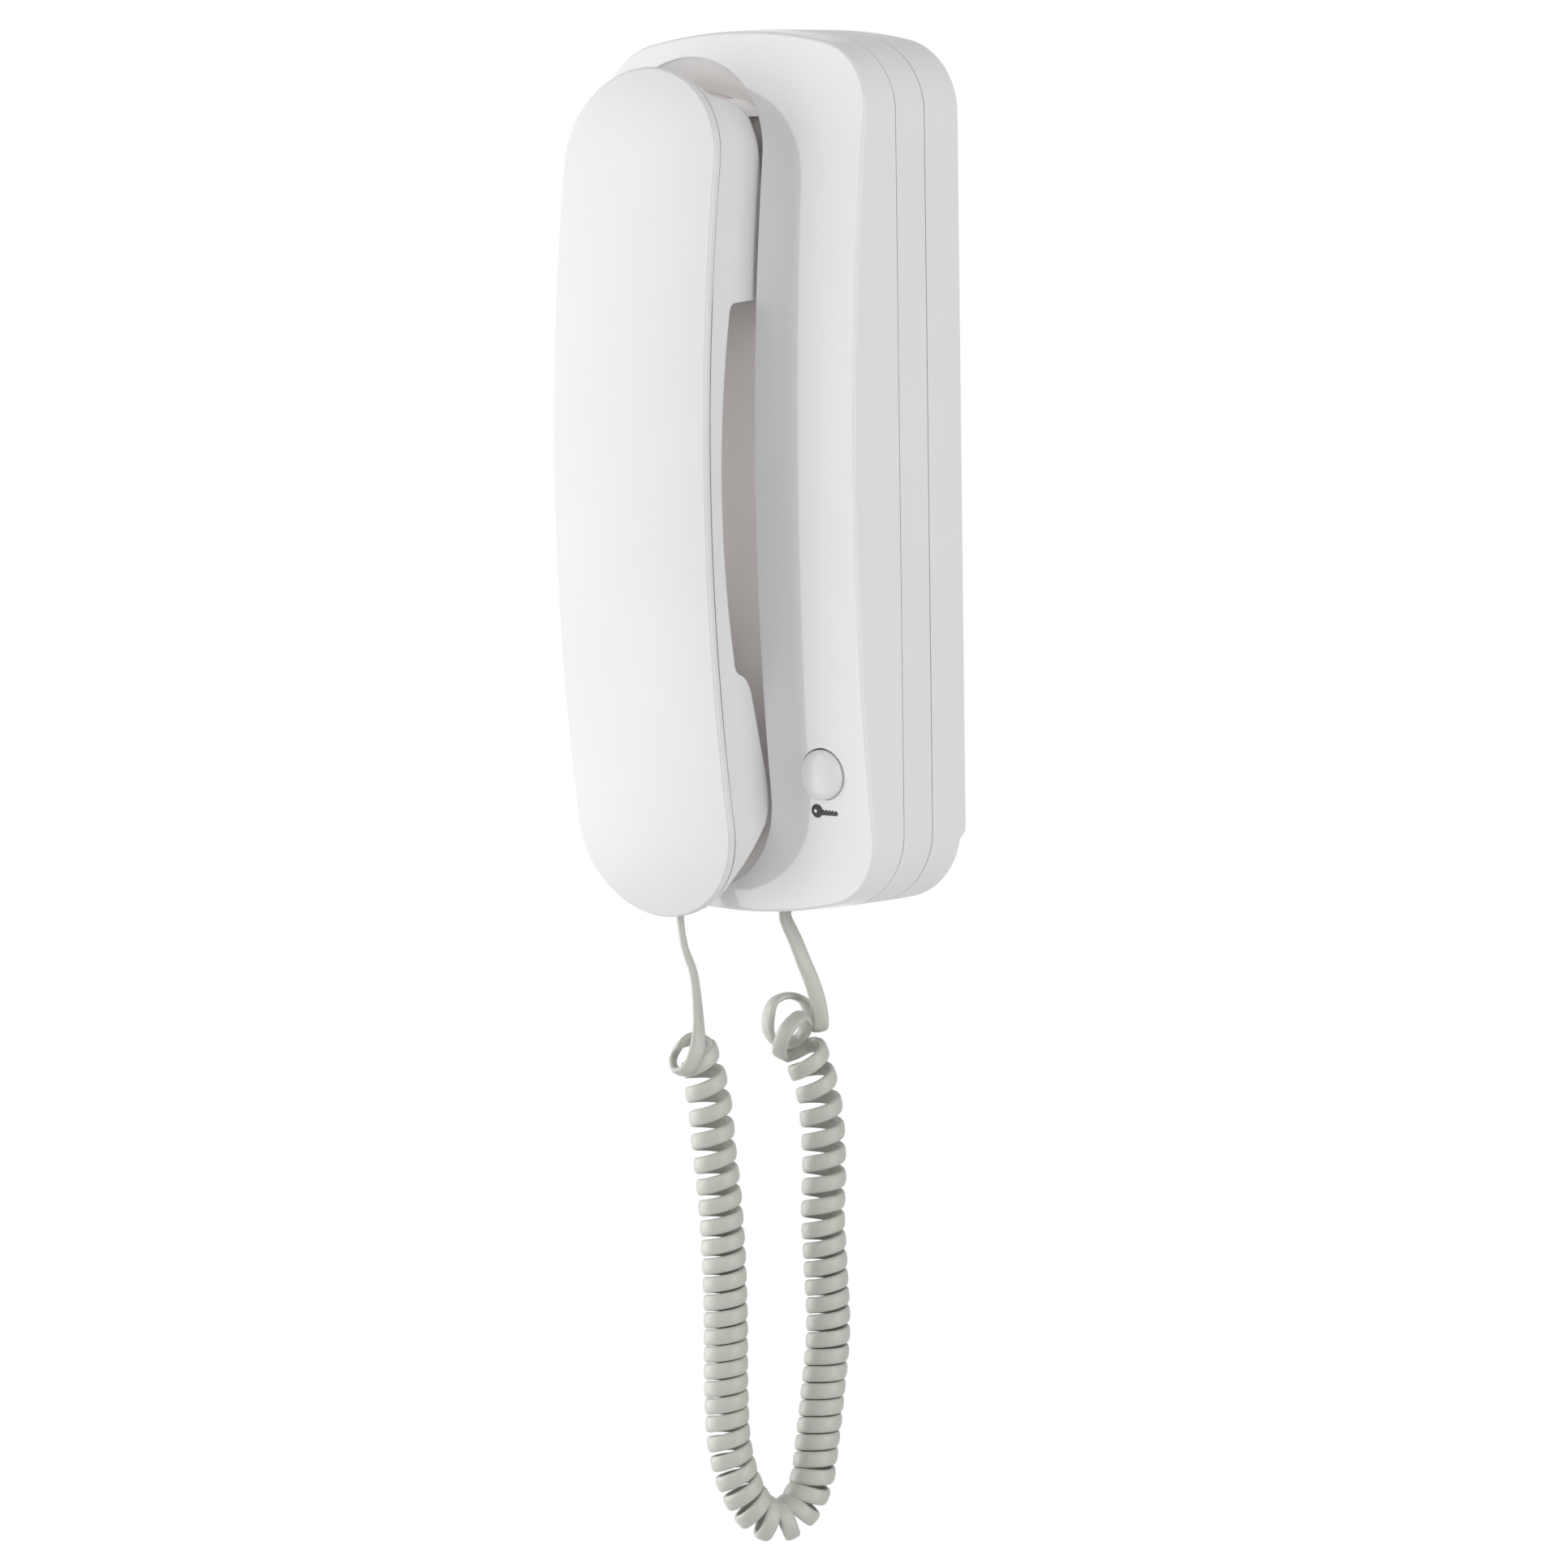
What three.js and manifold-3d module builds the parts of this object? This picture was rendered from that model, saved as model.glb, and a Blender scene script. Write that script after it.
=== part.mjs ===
// Wall-hung door-entry handset with a curly cord, in millimetres, +Z up.
// The wall is the plane y = 0 and the phone faces -Y, so a "depth" is a distance out
// from the wall, and a point at that depth has y = -depth. The origin is the middle of
// the back, on the wall. X runs to the right of someone who faces the phone.
import * as THREE from 'three';
import { mergeVertices } from 'three/addons/utils/BufferGeometryUtils.js';
import Module from 'manifold-3d';

const wasm = await Module();
wasm.setup();

// ---------------------------------------------------------------- driving sizes
const seamGap = 0.3; // the joint line between two mouldings
const restGap = 0.3; // between a piece and what it sits on
const slip = 0.4; // round a piece that moves

const body = {
  width: 80,
  height: 210.2,
  cornerRadius: 18,
  crownRadius: 122, // top and bottom edges are slightly arched
  wall: 2.2,
  rearDepth: 13.4, // wall to the rear seam
  midDepth: 11.5, // rear seam to front seam
  coverDepth: 8.3, // front seam to the face, at the very top and bottom
  bulge: 8.9, // how much further the face stands out at mid height
  draft: 0.5, // the cover narrows by this much a side
  edgeRound: 0.7,
};

const trough = {
  centreX: -13.4,
  halfWidth: 23.4,
  top: body.height / 2 - 6.5,
  bottom: -body.height / 2 + 5.5,
  straightDepth: 34, // the rim runs straight back to here, then slopes in
  floorDepth: 27.5,
  floorTop: body.height / 2 - 14.6,
  floorBottom: -body.height / 2 + 14.1,
  sideDraft: 0.5,
  wall: 2,
};

const handset = {
  halfWidth: 22.9,
  cupHalfWidth: 22.3, // narrower where the cups drop into the trough
  cupDepth: 34,
  top: body.height / 2 - 8.7,
  bottom: -body.height / 2 - 0.2,
  seamDepth: 57.9, // joint line between the two shells, at its foremost
  seamBow: 6.1,
  bowReach: 76, // the joint line falls back by seamBow at this height
  skirt: 2.3, // side of the front shell, from joint line to edge
  crown: 1.3,
  wall: 2,
  backInset: 0.35,
};

const earCup = { low: handset.top - 55.2, rear: 35.5, flatTop: handset.top - 23 };
const mouthCup = { high: handset.bottom + 58.3, deepest: 35.6, low: handset.bottom + 22.8 };
const handleBack = { ends: 48.9, arch: 3.9 };

const lug = { width: 12, bottom: earCup.low - 0.7, thickness: 5, reach: 10.5, lift: 30 };

const lever = {
  pivotZ: handset.top - 35.4,
  pivotDepth: 22.6,
  hubRadius: 2.4,
  pinRadius: 1,
  pinFit: 0.08,
  halfWidth: 13,
  top: trough.top - 10.6,
  bottom: handset.top - 30.4,
  faceDepth: 35.2, // the cup rests against this
  topDepth: 29.5,
  backDepth: 22.2,
  earGap: 2.6,
  earThickness: 2.2,
};

const button = {
  x: body.width / 2 - 14,
  z: -body.height / 2 + 34.7,
  radius: 5.95,
  stand: 1.3, // rim stands this far out of the face
  dome: 0.9,
  travel: 1.5,
  ring: 0.35, // gap round the cap
  sleeveWall: 1.6,
  sleeveBack: 31.5,
  flangeExtra: 1.2,
  flangeThickness: 1.4,
  stemRadius: 2.2,
};

const board = {
  rear: 11.9,
  thickness: 1.6,
  halfWidth: body.width / 2 - 9,
  top: body.height / 2 - 13.2,
  bottom: -body.height / 2 + 5.4,
};
const boardSeat = { x: body.width / 2 - 15, z: 56, radius: 3, hole: 1.7 };
const tower = {
  x: body.width / 2 - 10.5,
  z: body.height / 2 - 18.2,
  radius: 3.6,
  tab: 2.2,
  notch: 5.4,
};
const screw = { headRadius: 2.8, headHeight: 1.9, shankRadius: 1.35, pilot: 1.6 };

const keyhole = { z: body.height / 2 - 35.1, head: 4.4, slot: 2.4, rise: 9 };
const lowerSlot = { x: 17, z: -body.height / 2 + 43.1, half: 2.5, rise: 8 };
const cableEntry = { halfWidth: 13, low: -48, high: -30 };
const backRelief = { depth: 2, z: -body.height / 2 + 23.1, chamfer: 2 };

const modular = {
  plugWidth: 7.65,
  plugThick: 6.6,
  plugLength: 13.5,
  latchReach: 2.3,
  latchThick: 0.8,
  jackWall: 1.45,
  jackLength: 12,
  grip: 9, // how far the plug goes into the jack
  clearance: 0.2,
};
const basePort = { x: 0, depth: 19.1, plugEnd: -body.height / 2 - 0.5 };
const handsetPort = { x: trough.centreX, depth: 42.4, plugEnd: handset.bottom + 17.3 };

const earpiece = {
  z: handset.top - 29,
  radius: 12.2,
  pocketGap: 0.3,
  floor: 39.2,
  height: 9.4,
  rib: 1.4,
};
const mouthpiece = {
  z: mouthCup.high - 12,
  radius: 4.9,
  boot: 1.1,
  floor: 44,
  height: 6.2,
  bootFloor: 1,
};
const shellScrew = {
  high: earCup.low - 8.2,
  low: mouthCup.high + 10,
  sink: 1.6,
  seat: 2.2,
  postRadius: 2.9,
};

const cord = {
  width: 3.9,
  thickness: 1.75,
  coilRadius: 4.5, // axis of the coil to the middle of the strap
  pitch: 4.4, // where the turns lie close together
  openPitch: 5.1, // where the cord's weight draws them apart, at both tops
  openReach: 22, // and how far down that goes
  firstRadius: 3.9, // of the first turn, at the handset's end
  lastRadius: 4.75, // and of the last one, at the base's end
  endTurns: 1.2,
  runOut: 1.4, // straight strap at each end of the coil
  curlSteps: 8,
};

// ---------------------------------------------------------------- plain helpers
const radians = THREE.MathUtils.degToRad;
const mix = THREE.MathUtils.lerp;
const smooth = (t) => THREE.MathUtils.smoothstep(t, 0, 1);

function positionsOnly(geometry) {
  const copy = geometry.clone();
  copy.deleteAttribute('normal');
  copy.deleteAttribute('uv');
  return mergeVertices(copy, 1e-4);
}

// A closed geometry as a solid that can be joined and cut.
function solid(geometry) {
  const clean = positionsOnly(geometry);
  return new wasm.Manifold(
    new wasm.Mesh({
      numProp: 3,
      vertProperties: new Float32Array(clean.attributes.position.array),
      triVerts: new Uint32Array(clean.index.array),
    }),
  );
}

function geometryOf(manifold) {
  const mesh = manifold.getMesh();
  const geometry = new THREE.BufferGeometry();
  geometry.setAttribute('position', new THREE.BufferAttribute(mesh.vertProperties, 3));
  geometry.setIndex(new THREE.BufferAttribute(mesh.triVerts, 1));
  return geometry;
}

function signedVolume(geometry) {
  const p = geometry.attributes.position;
  const index = geometry.index.array;
  const [a, b, c] = [new THREE.Vector3(), new THREE.Vector3(), new THREE.Vector3()];
  let sum = 0;
  for (let i = 0; i < index.length; i += 3) {
    a.fromBufferAttribute(p, index[i]);
    b.fromBufferAttribute(p, index[i + 1]);
    c.fromBufferAttribute(p, index[i + 2]);
    sum += a.dot(b.cross(c)) / 6;
  }
  return sum;
}

// Joins rings of [x, depth, z] points into one closed skin. Each ring starts at its lowest
// middle point and runs up its right side, so that point i faces point (count - i) across
// the ring, and the two end rings are closed by strips between those pairs.
function loft(rings) {
  const count = rings[0].length;
  const positions = rings.flat().flatMap(([x, depth, z]) => [x, -depth, z]);
  const index = [];
  for (let ring = 0; ring < rings.length - 1; ring += 1) {
    for (let i = 0; i < count; i += 1) {
      const a = ring * count + i;
      const b = ring * count + ((i + 1) % count);
      index.push(a, b, b + count, a, b + count, a + count);
    }
  }
  const half = count / 2;
  const cap = (start, flip) => {
    const face = (a, b, c) => index.push(start + a, start + (flip ? c : b), start + (flip ? b : c));
    face(0, count - 1, 1);
    for (let i = 1; i < half - 1; i += 1) {
      face(i, count - i, i + 1);
      face(i + 1, count - i, count - i - 1);
    }
    face(half - 1, half + 1, half);
  };
  cap(0, false);
  cap((rings.length - 1) * count, true);
  const geometry = new THREE.BufferGeometry();
  geometry.setAttribute('position', new THREE.Float32BufferAttribute(positions, 3));
  geometry.setIndex(index);
  if (signedVolume(geometry) < 0) {
    for (let i = 0; i < index.length; i += 3) {
      [index[i + 1], index[i + 2]] = [index[i + 2], index[i + 1]];
    }
    geometry.setIndex(index);
  }
  return geometry;
}

const arc = (x, z, radius, from, to, steps) =>
  Array.from({ length: steps }, (_, i) => {
    const angle = mix(from, to, (i + 1) / steps);
    return [x + radius * Math.cos(angle), z + radius * Math.sin(angle)];
  });

const mirrored = (right) => [...right, ...right.slice(1, -1).reverse().map(([x, z]) => [-x, z])];

// The phone's outline from the front: straight sides, round corners, arched top and bottom.
function bodyOutline(inset, sideSteps = 10, cornerSteps = 6) {
  const halfWidth = body.width / 2 - inset;
  const halfHeight = body.height / 2 - inset;
  const radius = body.cornerRadius - inset;
  const crownZ = halfHeight - body.crownRadius;
  const cornerX = halfWidth - radius;
  const cornerZ = crownZ + Math.sqrt((body.crownRadius - radius) ** 2 - cornerX ** 2);
  const meet = Math.atan2(cornerZ - crownZ, cornerX);
  const right = [
    [0, -halfHeight],
    ...arc(0, -crownZ, body.crownRadius, -Math.PI / 2, -meet, 3),
    ...arc(cornerX, -cornerZ, radius, -meet, 0, cornerSteps),
    ...Array.from({ length: sideSteps }, (_, i) => [
      halfWidth,
      mix(-cornerZ, cornerZ, (i + 1) / sideSteps),
    ]),
    ...arc(cornerX, cornerZ, radius, 0, meet, cornerSteps),
    ...arc(0, crownZ, body.crownRadius, meet, Math.PI / 2, 3),
  ];
  return mirrored(right);
}

// A slot with round ends, about x = 0.
function stadium(halfWidth, bottom, top, sideSteps = 10, endSteps = 6) {
  const low = bottom + halfWidth;
  const high = top - halfWidth;
  const right = [
    [0, bottom],
    ...arc(0, low, halfWidth, -Math.PI / 2, 0, endSteps),
    ...Array.from({ length: sideSteps }, (_, i) => [halfWidth, mix(low, high, (i + 1) / sideSteps)]),
    ...arc(0, high, halfWidth, 0, Math.PI / 2, endSteps),
  ];
  return mirrored(right);
}

// Gives each outline point a depth, which may vary with height.
const ringAt = (outline, depth, shiftX = 0) =>
  outline.map(([x, z]) => [x + shiftX, typeof depth === 'function' ? depth(z) : depth, z]);

const block = (x0, x1, depth0, depth1, z0, z1) =>
  solid(
    new THREE.BoxGeometry(x1 - x0, depth1 - depth0, z1 - z0).translate(
      (x0 + x1) / 2,
      -(depth0 + depth1) / 2,
      (z0 + z1) / 2,
    ),
  );

// A round bar that runs straight out from the wall.
const peg = (x, z, radius, depth0, depth1, sides = 20) =>
  solid(
    new THREE.CylinderGeometry(radius, radius, depth1 - depth0, sides).translate(
      x,
      -(depth0 + depth1) / 2,
      z,
    ),
  );

// A round bar along X.
const crossBar = (depth, z, radius, x0, x1, sides = 16) =>
  solid(
    new THREE.CylinderGeometry(radius, radius, x1 - x0, sides)
      .rotateZ(Math.PI / 2)
      .translate((x0 + x1) / 2, -depth, z),
  );

// A side profile of [depth, z] points, carried along X.
function sideProfile(points, x0, x1) {
  const shape = new THREE.Shape(points.map(([depth, z]) => new THREE.Vector2(-depth, z)));
  const geometry = new THREE.ExtrudeGeometry(shape, { depth: x1 - x0, bevelEnabled: false });
  const axes = new THREE.Matrix4().makeBasis(
    new THREE.Vector3(0, 1, 0),
    new THREE.Vector3(0, 0, 1),
    new THREE.Vector3(1, 0, 0),
  );
  return solid(geometry.applyMatrix4(axes).translate(x0, 0, 0));
}

// An outline of [x, depth] points seen from below, carried up Z.
function uprightProfile(points, z0, z1) {
  const shape = new THREE.Shape(points.map(([x, depth]) => new THREE.Vector2(x, -depth)));
  const geometry = new THREE.ExtrudeGeometry(shape, { depth: z1 - z0, bevelEnabled: false });
  return solid(geometry.translate(0, 0, z0));
}

// A front outline, carried out from the wall between two depths.
function frontProfile(shape, depth0, depth1) {
  const geometry = new THREE.ExtrudeGeometry(shape, {
    depth: depth1 - depth0,
    bevelEnabled: false,
    curveSegments: 6,
  });
  return solid(geometry.rotateX(Math.PI / 2).translate(0, -depth0, 0));
}

const group = new THREE.Group();

function addPiece(name, manifold, look) {
  const geometry = manifold.isBufferGeometry ? manifold : geometryOf(manifold);
  const mesh = new THREE.Mesh(geometry, new THREE.MeshStandardMaterial(look));
  mesh.name = name;
  group.add(mesh);
  return mesh;
}

const looks = {
  glossWhite: { color: 0xe6e8ea, roughness: 0.12, metalness: 0 },
  satinWhite: { color: 0xd9d7d5, roughness: 0.42, metalness: 0 },
  handsetWhite: { color: 0xe9e9ea, roughness: 0.5, metalness: 0 },
  boardGreen: { color: 0x2e5a3c, roughness: 0.5, metalness: 0 },
  darkPlastic: { color: 0x2a2a2c, roughness: 0.45, metalness: 0 },
  greenPlastic: { color: 0x3f8a52, roughness: 0.45, metalness: 0 },
  steel: { color: 0xb8bbbe, roughness: 0.3, metalness: 1 },
  clearPlastic: { color: 0xd8dcdc, roughness: 0.1, metalness: 0 },
  cordGrey: { color: 0xcbcdc9, roughness: 0.5, metalness: 0 },
  rubber: { color: 0x333333, roughness: 0.8, metalness: 0 },
};

// ---------------------------------------------------------------- shared places
const rearSeam = body.rearDepth;
const frontSeam = body.rearDepth + body.midDepth;
const faceDepth = (z) =>
  frontSeam + body.coverDepth + body.bulge * (1 - (z / (body.height / 2)) ** 2);
const shellSeam = (z) => handset.seamDepth - handset.seamBow * ((z - 1) / handset.bowReach) ** 2;
const shellEdge = (z) => shellSeam(z) + handset.skirt;
const boardFront = board.rear + board.thickness;
const troughShift = trough.centreX;

// ---------------------------------------------------------------- rear housing
function rearHousing() {
  const front = rearSeam - seamGap / 2;
  const outer = solid(loft([ringAt(bodyOutline(0), 0), ringAt(bodyOutline(0), front)]));
  const inside = solid(
    loft([ringAt(bodyOutline(body.wall), body.wall), ringAt(bodyOutline(body.wall), front + 1)]),
  );
  const thickFoot = block(
    -body.width,
    body.width,
    body.wall - 0.1,
    body.wall + backRelief.depth,
    -body.height,
    backRelief.z + body.wall,
  ).intersect(outer);
  let tray = outer.subtract(inside).add(thickFoot);
  const relief = [
    [-1, backRelief.z + backRelief.chamfer],
    [0, backRelief.z + backRelief.chamfer],
    [backRelief.depth, backRelief.z],
    [backRelief.depth, -body.height],
    [-1, -body.height],
  ];
  tray = tray.subtract(sideProfile(relief, -body.width, body.width));
  for (const side of [-1, 1]) {
    for (const end of [-1, 1]) {
      const towerFront = front;
      tray = tray.add(peg(side * tower.x, end * tower.z, tower.radius, body.wall - 0.1, towerFront));
      const seatFront = board.rear - restGap;
      const seat = peg(side * boardSeat.x, end * boardSeat.z, boardSeat.radius, body.wall - 0.1, seatFront);
      tray = tray.add(seat);
    }
  }
  for (const side of [-1, 1]) {
    for (const end of [-1, 1]) {
      const deep = rearSeam - 9;
      tray = tray.subtract(peg(side * tower.x, end * tower.z, screw.pilot, deep, rearSeam + 1, 12));
      const seatHole = peg(side * boardSeat.x, end * boardSeat.z, screw.pilot, deep, rearSeam + 1, 12);
      tray = tray.subtract(seatHole);
    }
  }
  return tray.subtract(wallOpenings());
}

// Keyhole at the top, two slots below, and the opening for the wall cable.
function wallOpenings() {
  const back = -1;
  const front = body.wall + 1;
  const upright = (x, z, half, rise) =>
    peg(x, z, half, back, front, 16)
      .add(block(x - half, x + half, back, front, z, z + rise))
      .add(peg(x, z + rise, half, back, front, 16));
  const hole = peg(0, keyhole.z, keyhole.head, back, front, 20);
  return hole
    .add(upright(0, keyhole.z, keyhole.slot, keyhole.rise))
    .add(upright(-lowerSlot.x, lowerSlot.z, lowerSlot.half, lowerSlot.rise))
    .add(upright(lowerSlot.x, lowerSlot.z, lowerSlot.half, lowerSlot.rise))
    .add(block(-cableEntry.halfWidth, cableEntry.halfWidth, back, front, cableEntry.low, cableEntry.high));
}

// ---------------------------------------------------------------- middle frame
const clip = { width: 12, z: 45, thickness: 1.6, back: 20.2, nose: 0.7, noseDepth: 1.6, groove: 1.1 };

function midFrame() {
  const rear = rearSeam + seamGap / 2;
  const front = frontSeam - seamGap / 2;
  const outer = solid(loft([ringAt(bodyOutline(0), rear), ringAt(bodyOutline(0), front)]));
  const inside = solid(
    loft([ringAt(bodyOutline(body.wall), rear - 1), ringAt(bodyOutline(body.wall), front + 1)]),
  );
  let ring = outer.subtract(inside);
  for (const side of [-1, 1]) {
    for (const end of [-1, 1]) {
      const tab = peg(side * tower.x, end * tower.z, tower.radius + 0.8, rear, rear + tower.tab)
        .add(
          block(
            Math.min(side * tower.x, side * body.width),
            Math.max(side * tower.x, side * body.width),
            rear,
            rear + tower.tab,
            end * tower.z - tower.radius,
            end * tower.z + tower.radius,
          ),
        )
        .intersect(outer);
      ring = ring.add(tab);
      const hole = peg(side * tower.x, end * tower.z, screw.pilot, rear - 1, rear + tower.tab + 1, 12);
      ring = ring.subtract(hole);
      const wallX = body.width / 2 - body.wall;
      const groove = block(
        side > 0 ? wallX - 1 : -wallX - clip.groove,
        side > 0 ? wallX + clip.groove : -wallX + 1,
        clip.back - slip,
        clip.back + clip.noseDepth + slip,
        end * clip.z - clip.width / 2 - slip,
        end * clip.z + clip.width / 2 + slip,
      );
      ring = ring.subtract(groove);
    }
  }
  return ring.subtract(portOpening(basePort, modular.clearance, -body.height, basePort.plugEnd + 8));
}

// The hole that a modular plug and its latch pass through, in a piece that it goes into.
function portOpening(port, clearance, z0, z1) {
  const halfThick = modular.plugThick / 2 + clearance;
  const halfWidth = modular.plugWidth / 2 + clearance;
  return block(
    port.x - halfThick - modular.latchReach,
    port.x + halfThick,
    port.depth - halfWidth,
    port.depth + halfWidth,
    z0,
    z1,
  );
}

// ---------------------------------------------------------------- front cover
function coverOuter() {
  const rear = frontSeam + seamGap / 2;
  const round = body.edgeRound;
  return solid(
    loft([
      ringAt(bodyOutline(0), rear),
      ringAt(bodyOutline(body.draft), (z) => faceDepth(z) - round),
      ringAt(bodyOutline(body.draft + round * 0.3), (z) => faceDepth(z) - round * 0.3),
      ringAt(bodyOutline(body.draft + round), faceDepth),
    ]),
  );
}

function coverCavity() {
  const inner = (z) => faceDepth(z) - body.wall;
  return solid(
    loft([
      ringAt(bodyOutline(body.wall), frontSeam - 1),
      ringAt(bodyOutline(body.wall + body.draft), inner),
    ]),
  );
}

// The handset-shaped recess, or with a wall's thickness added, the tub that holds it.
function troughSolid(extra, frontDepth) {
  const rim = stadium(trough.halfWidth + extra, trough.bottom - extra, trough.top + extra);
  const floorHalf = trough.halfWidth - trough.sideDraft + extra;
  const floor = stadium(floorHalf, trough.floorBottom - extra, trough.floorTop + extra);
  return solid(
    loft([
      ringAt(floor, trough.floorDepth - extra, troughShift),
      ringAt(rim, trough.straightDepth, troughShift),
      ringAt(rim, frontDepth, troughShift),
    ]),
  );
}

// Slanted finger on the trough floor that the ear cup hangs on. It points the way the
// handset leaves: out, and up by lug.lift degrees.
function lugSolid(clearance, from, reach) {
  const rise = Math.tan(radians(lug.lift));
  const tall = clearance / Math.cos(radians(lug.lift));
  const z = (depth, offset) => lug.bottom + offset + (depth - trough.floorDepth) * rise;
  const end = trough.floorDepth + reach;
  return sideProfile(
    [
      [from, z(from, -tall)],
      [end, z(end, -tall)],
      [end, z(end, lug.thickness + tall)],
      [from, z(from, lug.thickness + tall)],
    ],
    troughShift - lug.width / 2 - clearance,
    troughShift + lug.width / 2 + clearance,
  );
}

function leverEars() {
  const face = trough.floorDepth - trough.wall;
  const inner = lever.halfWidth + lever.earGap;
  let ears = null;
  for (const side of [-1, 1]) {
    const x = troughShift + side * (inner + lever.earThickness / 2);
    const [x0, x1] = [x - lever.earThickness / 2, x + lever.earThickness / 2];
    const ear = block(
      x0,
      x1,
      lever.pivotDepth,
      face + 0.5,
      lever.pivotZ - lever.hubRadius,
      lever.pivotZ + lever.hubRadius,
    ).add(crossBar(lever.pivotDepth, lever.pivotZ, lever.hubRadius, x0, x1));
    ears = ears ? ears.add(ear) : ear;
  }
  const bore = lever.pinRadius + lever.pinFit;
  return ears.subtract(
    crossBar(lever.pivotDepth, lever.pivotZ, bore, troughShift - inner * 2, troughShift + inner * 2),
  );
}

function coverClips() {
  let clips = null;
  for (const side of [-1, 1]) {
    for (const end of [-1, 1]) {
      const outerX = body.width / 2 - body.wall - slip;
      const rim = frontSeam + seamGap / 2 + 2;
      const nose = outerX + slip + clip.nose;
      const leg = uprightProfile(
        [
          [side * (outerX - clip.thickness), clip.back],
          [side * nose, clip.back + clip.noseDepth * 0.5],
          [side * nose, clip.back + clip.noseDepth],
          [side * outerX, clip.back + clip.noseDepth],
          [side * outerX, rim],
          [side * (outerX - clip.thickness), rim],
        ],
        end * clip.z - clip.width / 2,
        end * clip.z + clip.width / 2,
      );
      const root = block(
        side > 0 ? outerX - clip.thickness : -outerX - body.wall,
        side > 0 ? outerX + body.wall : -outerX + clip.thickness,
        rim - 1.6,
        rim,
        end * clip.z - clip.width / 2,
        end * clip.z + clip.width / 2,
      );
      clips = clips ? clips.add(leg).add(root) : leg.add(root);
    }
  }
  return clips;
}

function frontCover() {
  const outer = coverOuter();
  const tub = troughSolid(trough.wall, 60).intersect(outer);
  const sleeveOuter = button.radius + button.ring + button.sleeveWall;
  const sleeve = peg(button.x, button.z, sleeveOuter, button.sleeveBack, 60, 28).intersect(outer);
  const windowHalf = lever.halfWidth + slip;
  const window = block(
    troughShift - windowHalf,
    troughShift + windowHalf,
    trough.floorDepth - trough.wall - 1,
    trough.straightDepth,
    lever.bottom - 2.4,
    lever.top + 0.8,
  );
  const lugPiece = lugSolid(0, trough.floorDepth - 1, lug.reach);
  return outer
    .subtract(coverCavity())
    .add(tub)
    .add(sleeve)
    .subtract(troughSolid(0, 60))
    .subtract(peg(button.x, button.z, button.radius + button.ring, button.sleeveBack - 1, 60, 28))
    .subtract(window)
    .add(leverEars())
    .add(coverClips())
    .add(lugPiece);
}

// ---------------------------------------------------------------- hook lever
function hookLever() {
  const { pivotZ, pivotDepth } = lever;
  const armTop = lever.top - 1;
  const paddle = sideProfile(
    [
      [lever.backDepth, pivotZ + 3],
      [lever.backDepth + 2.2, pivotZ + 3],
      [lever.faceDepth - 6, lever.bottom],
      [lever.faceDepth, lever.bottom],
      [lever.faceDepth, lever.bottom + 8],
      [lever.topDepth, lever.top],
      [lever.topDepth - 1.8, lever.top],
      [lever.backDepth + 2, armTop - 12],
      [lever.backDepth, armTop - 14],
    ],
    troughShift - lever.halfWidth,
    troughShift + lever.halfWidth,
  );
  const hollow = sideProfile(
    [
      [lever.backDepth + 5.5, lever.bottom + 1.8],
      [lever.faceDepth - 1.8, lever.bottom + 1.8],
      [lever.faceDepth - 1.8, lever.bottom + 7.4],
      [lever.backDepth + 5.5, lever.bottom + 14],
    ],
    troughShift - lever.halfWidth + 2,
    troughShift + lever.halfWidth + 1,
  );
  const arm = block(
    troughShift - lever.halfWidth,
    troughShift + lever.halfWidth,
    pivotDepth - 0.4,
    pivotDepth + 1.8,
    pivotZ,
    pivotZ + 4,
  );
  const hub = crossBar(
    pivotDepth,
    pivotZ,
    lever.hubRadius,
    troughShift - lever.halfWidth - lever.earGap + restGap,
    troughShift + lever.halfWidth + lever.earGap - restGap,
  );
  const bore = crossBar(
    pivotDepth,
    pivotZ,
    lever.pinRadius + lever.pinFit,
    troughShift - 40,
    troughShift + 40,
  );
  return paddle.subtract(hollow).add(arm).add(hub).subtract(bore);
}

function hookPin() {
  const reach = lever.halfWidth + lever.earGap + lever.earThickness + 0.8;
  return crossBar(
    lever.pivotDepth,
    lever.pivotZ,
    lever.pinRadius,
    troughShift - reach,
    troughShift + reach,
    12,
  );
}

// ---------------------------------------------------------------- door button
function doorButton() {
  const face = faceDepth(button.z);
  const rim = face + button.stand - button.dome;
  const flangeFront = button.sleeveBack - restGap;
  const flangeBack = flangeFront - button.flangeThickness;
  const points = [[0, flangeBack]];
  const flangeRadius = button.radius + button.ring + button.flangeExtra;
  points.push([flangeRadius, flangeBack], [flangeRadius, flangeFront]);
  points.push([button.radius, flangeFront], [button.radius, rim]);
  const domeSteps = 5;
  for (let i = 1; i < domeSteps; i += 1) {
    const angle = (i / domeSteps) * (Math.PI / 2);
    points.push([button.radius * Math.cos(angle), rim + button.dome * Math.sin(angle)]);
  }
  points.push([0, rim + button.dome]);
  const profile = points.map(([radius, depth]) => new THREE.Vector2(radius, depth));
  const cap = solid(
    new THREE.LatheGeometry(profile, 28).rotateX(Math.PI).translate(button.x, 0, button.z),
  );
  const hollow = peg(button.x, button.z, button.radius - 1.6, flangeBack - 1, rim - 2, 20);
  const stem = peg(button.x, button.z, button.stemRadius, stemBack(), rim - 1, 14);
  return cap.subtract(hollow).add(stem);
}

const tact = { half: 3, height: 4.6, plungerRadius: 1.7, plungerHeight: 2.2 };
const stemBack = () =>
  boardFront + restGap + tact.height + tact.plungerHeight + button.travel + 0.2;

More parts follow.
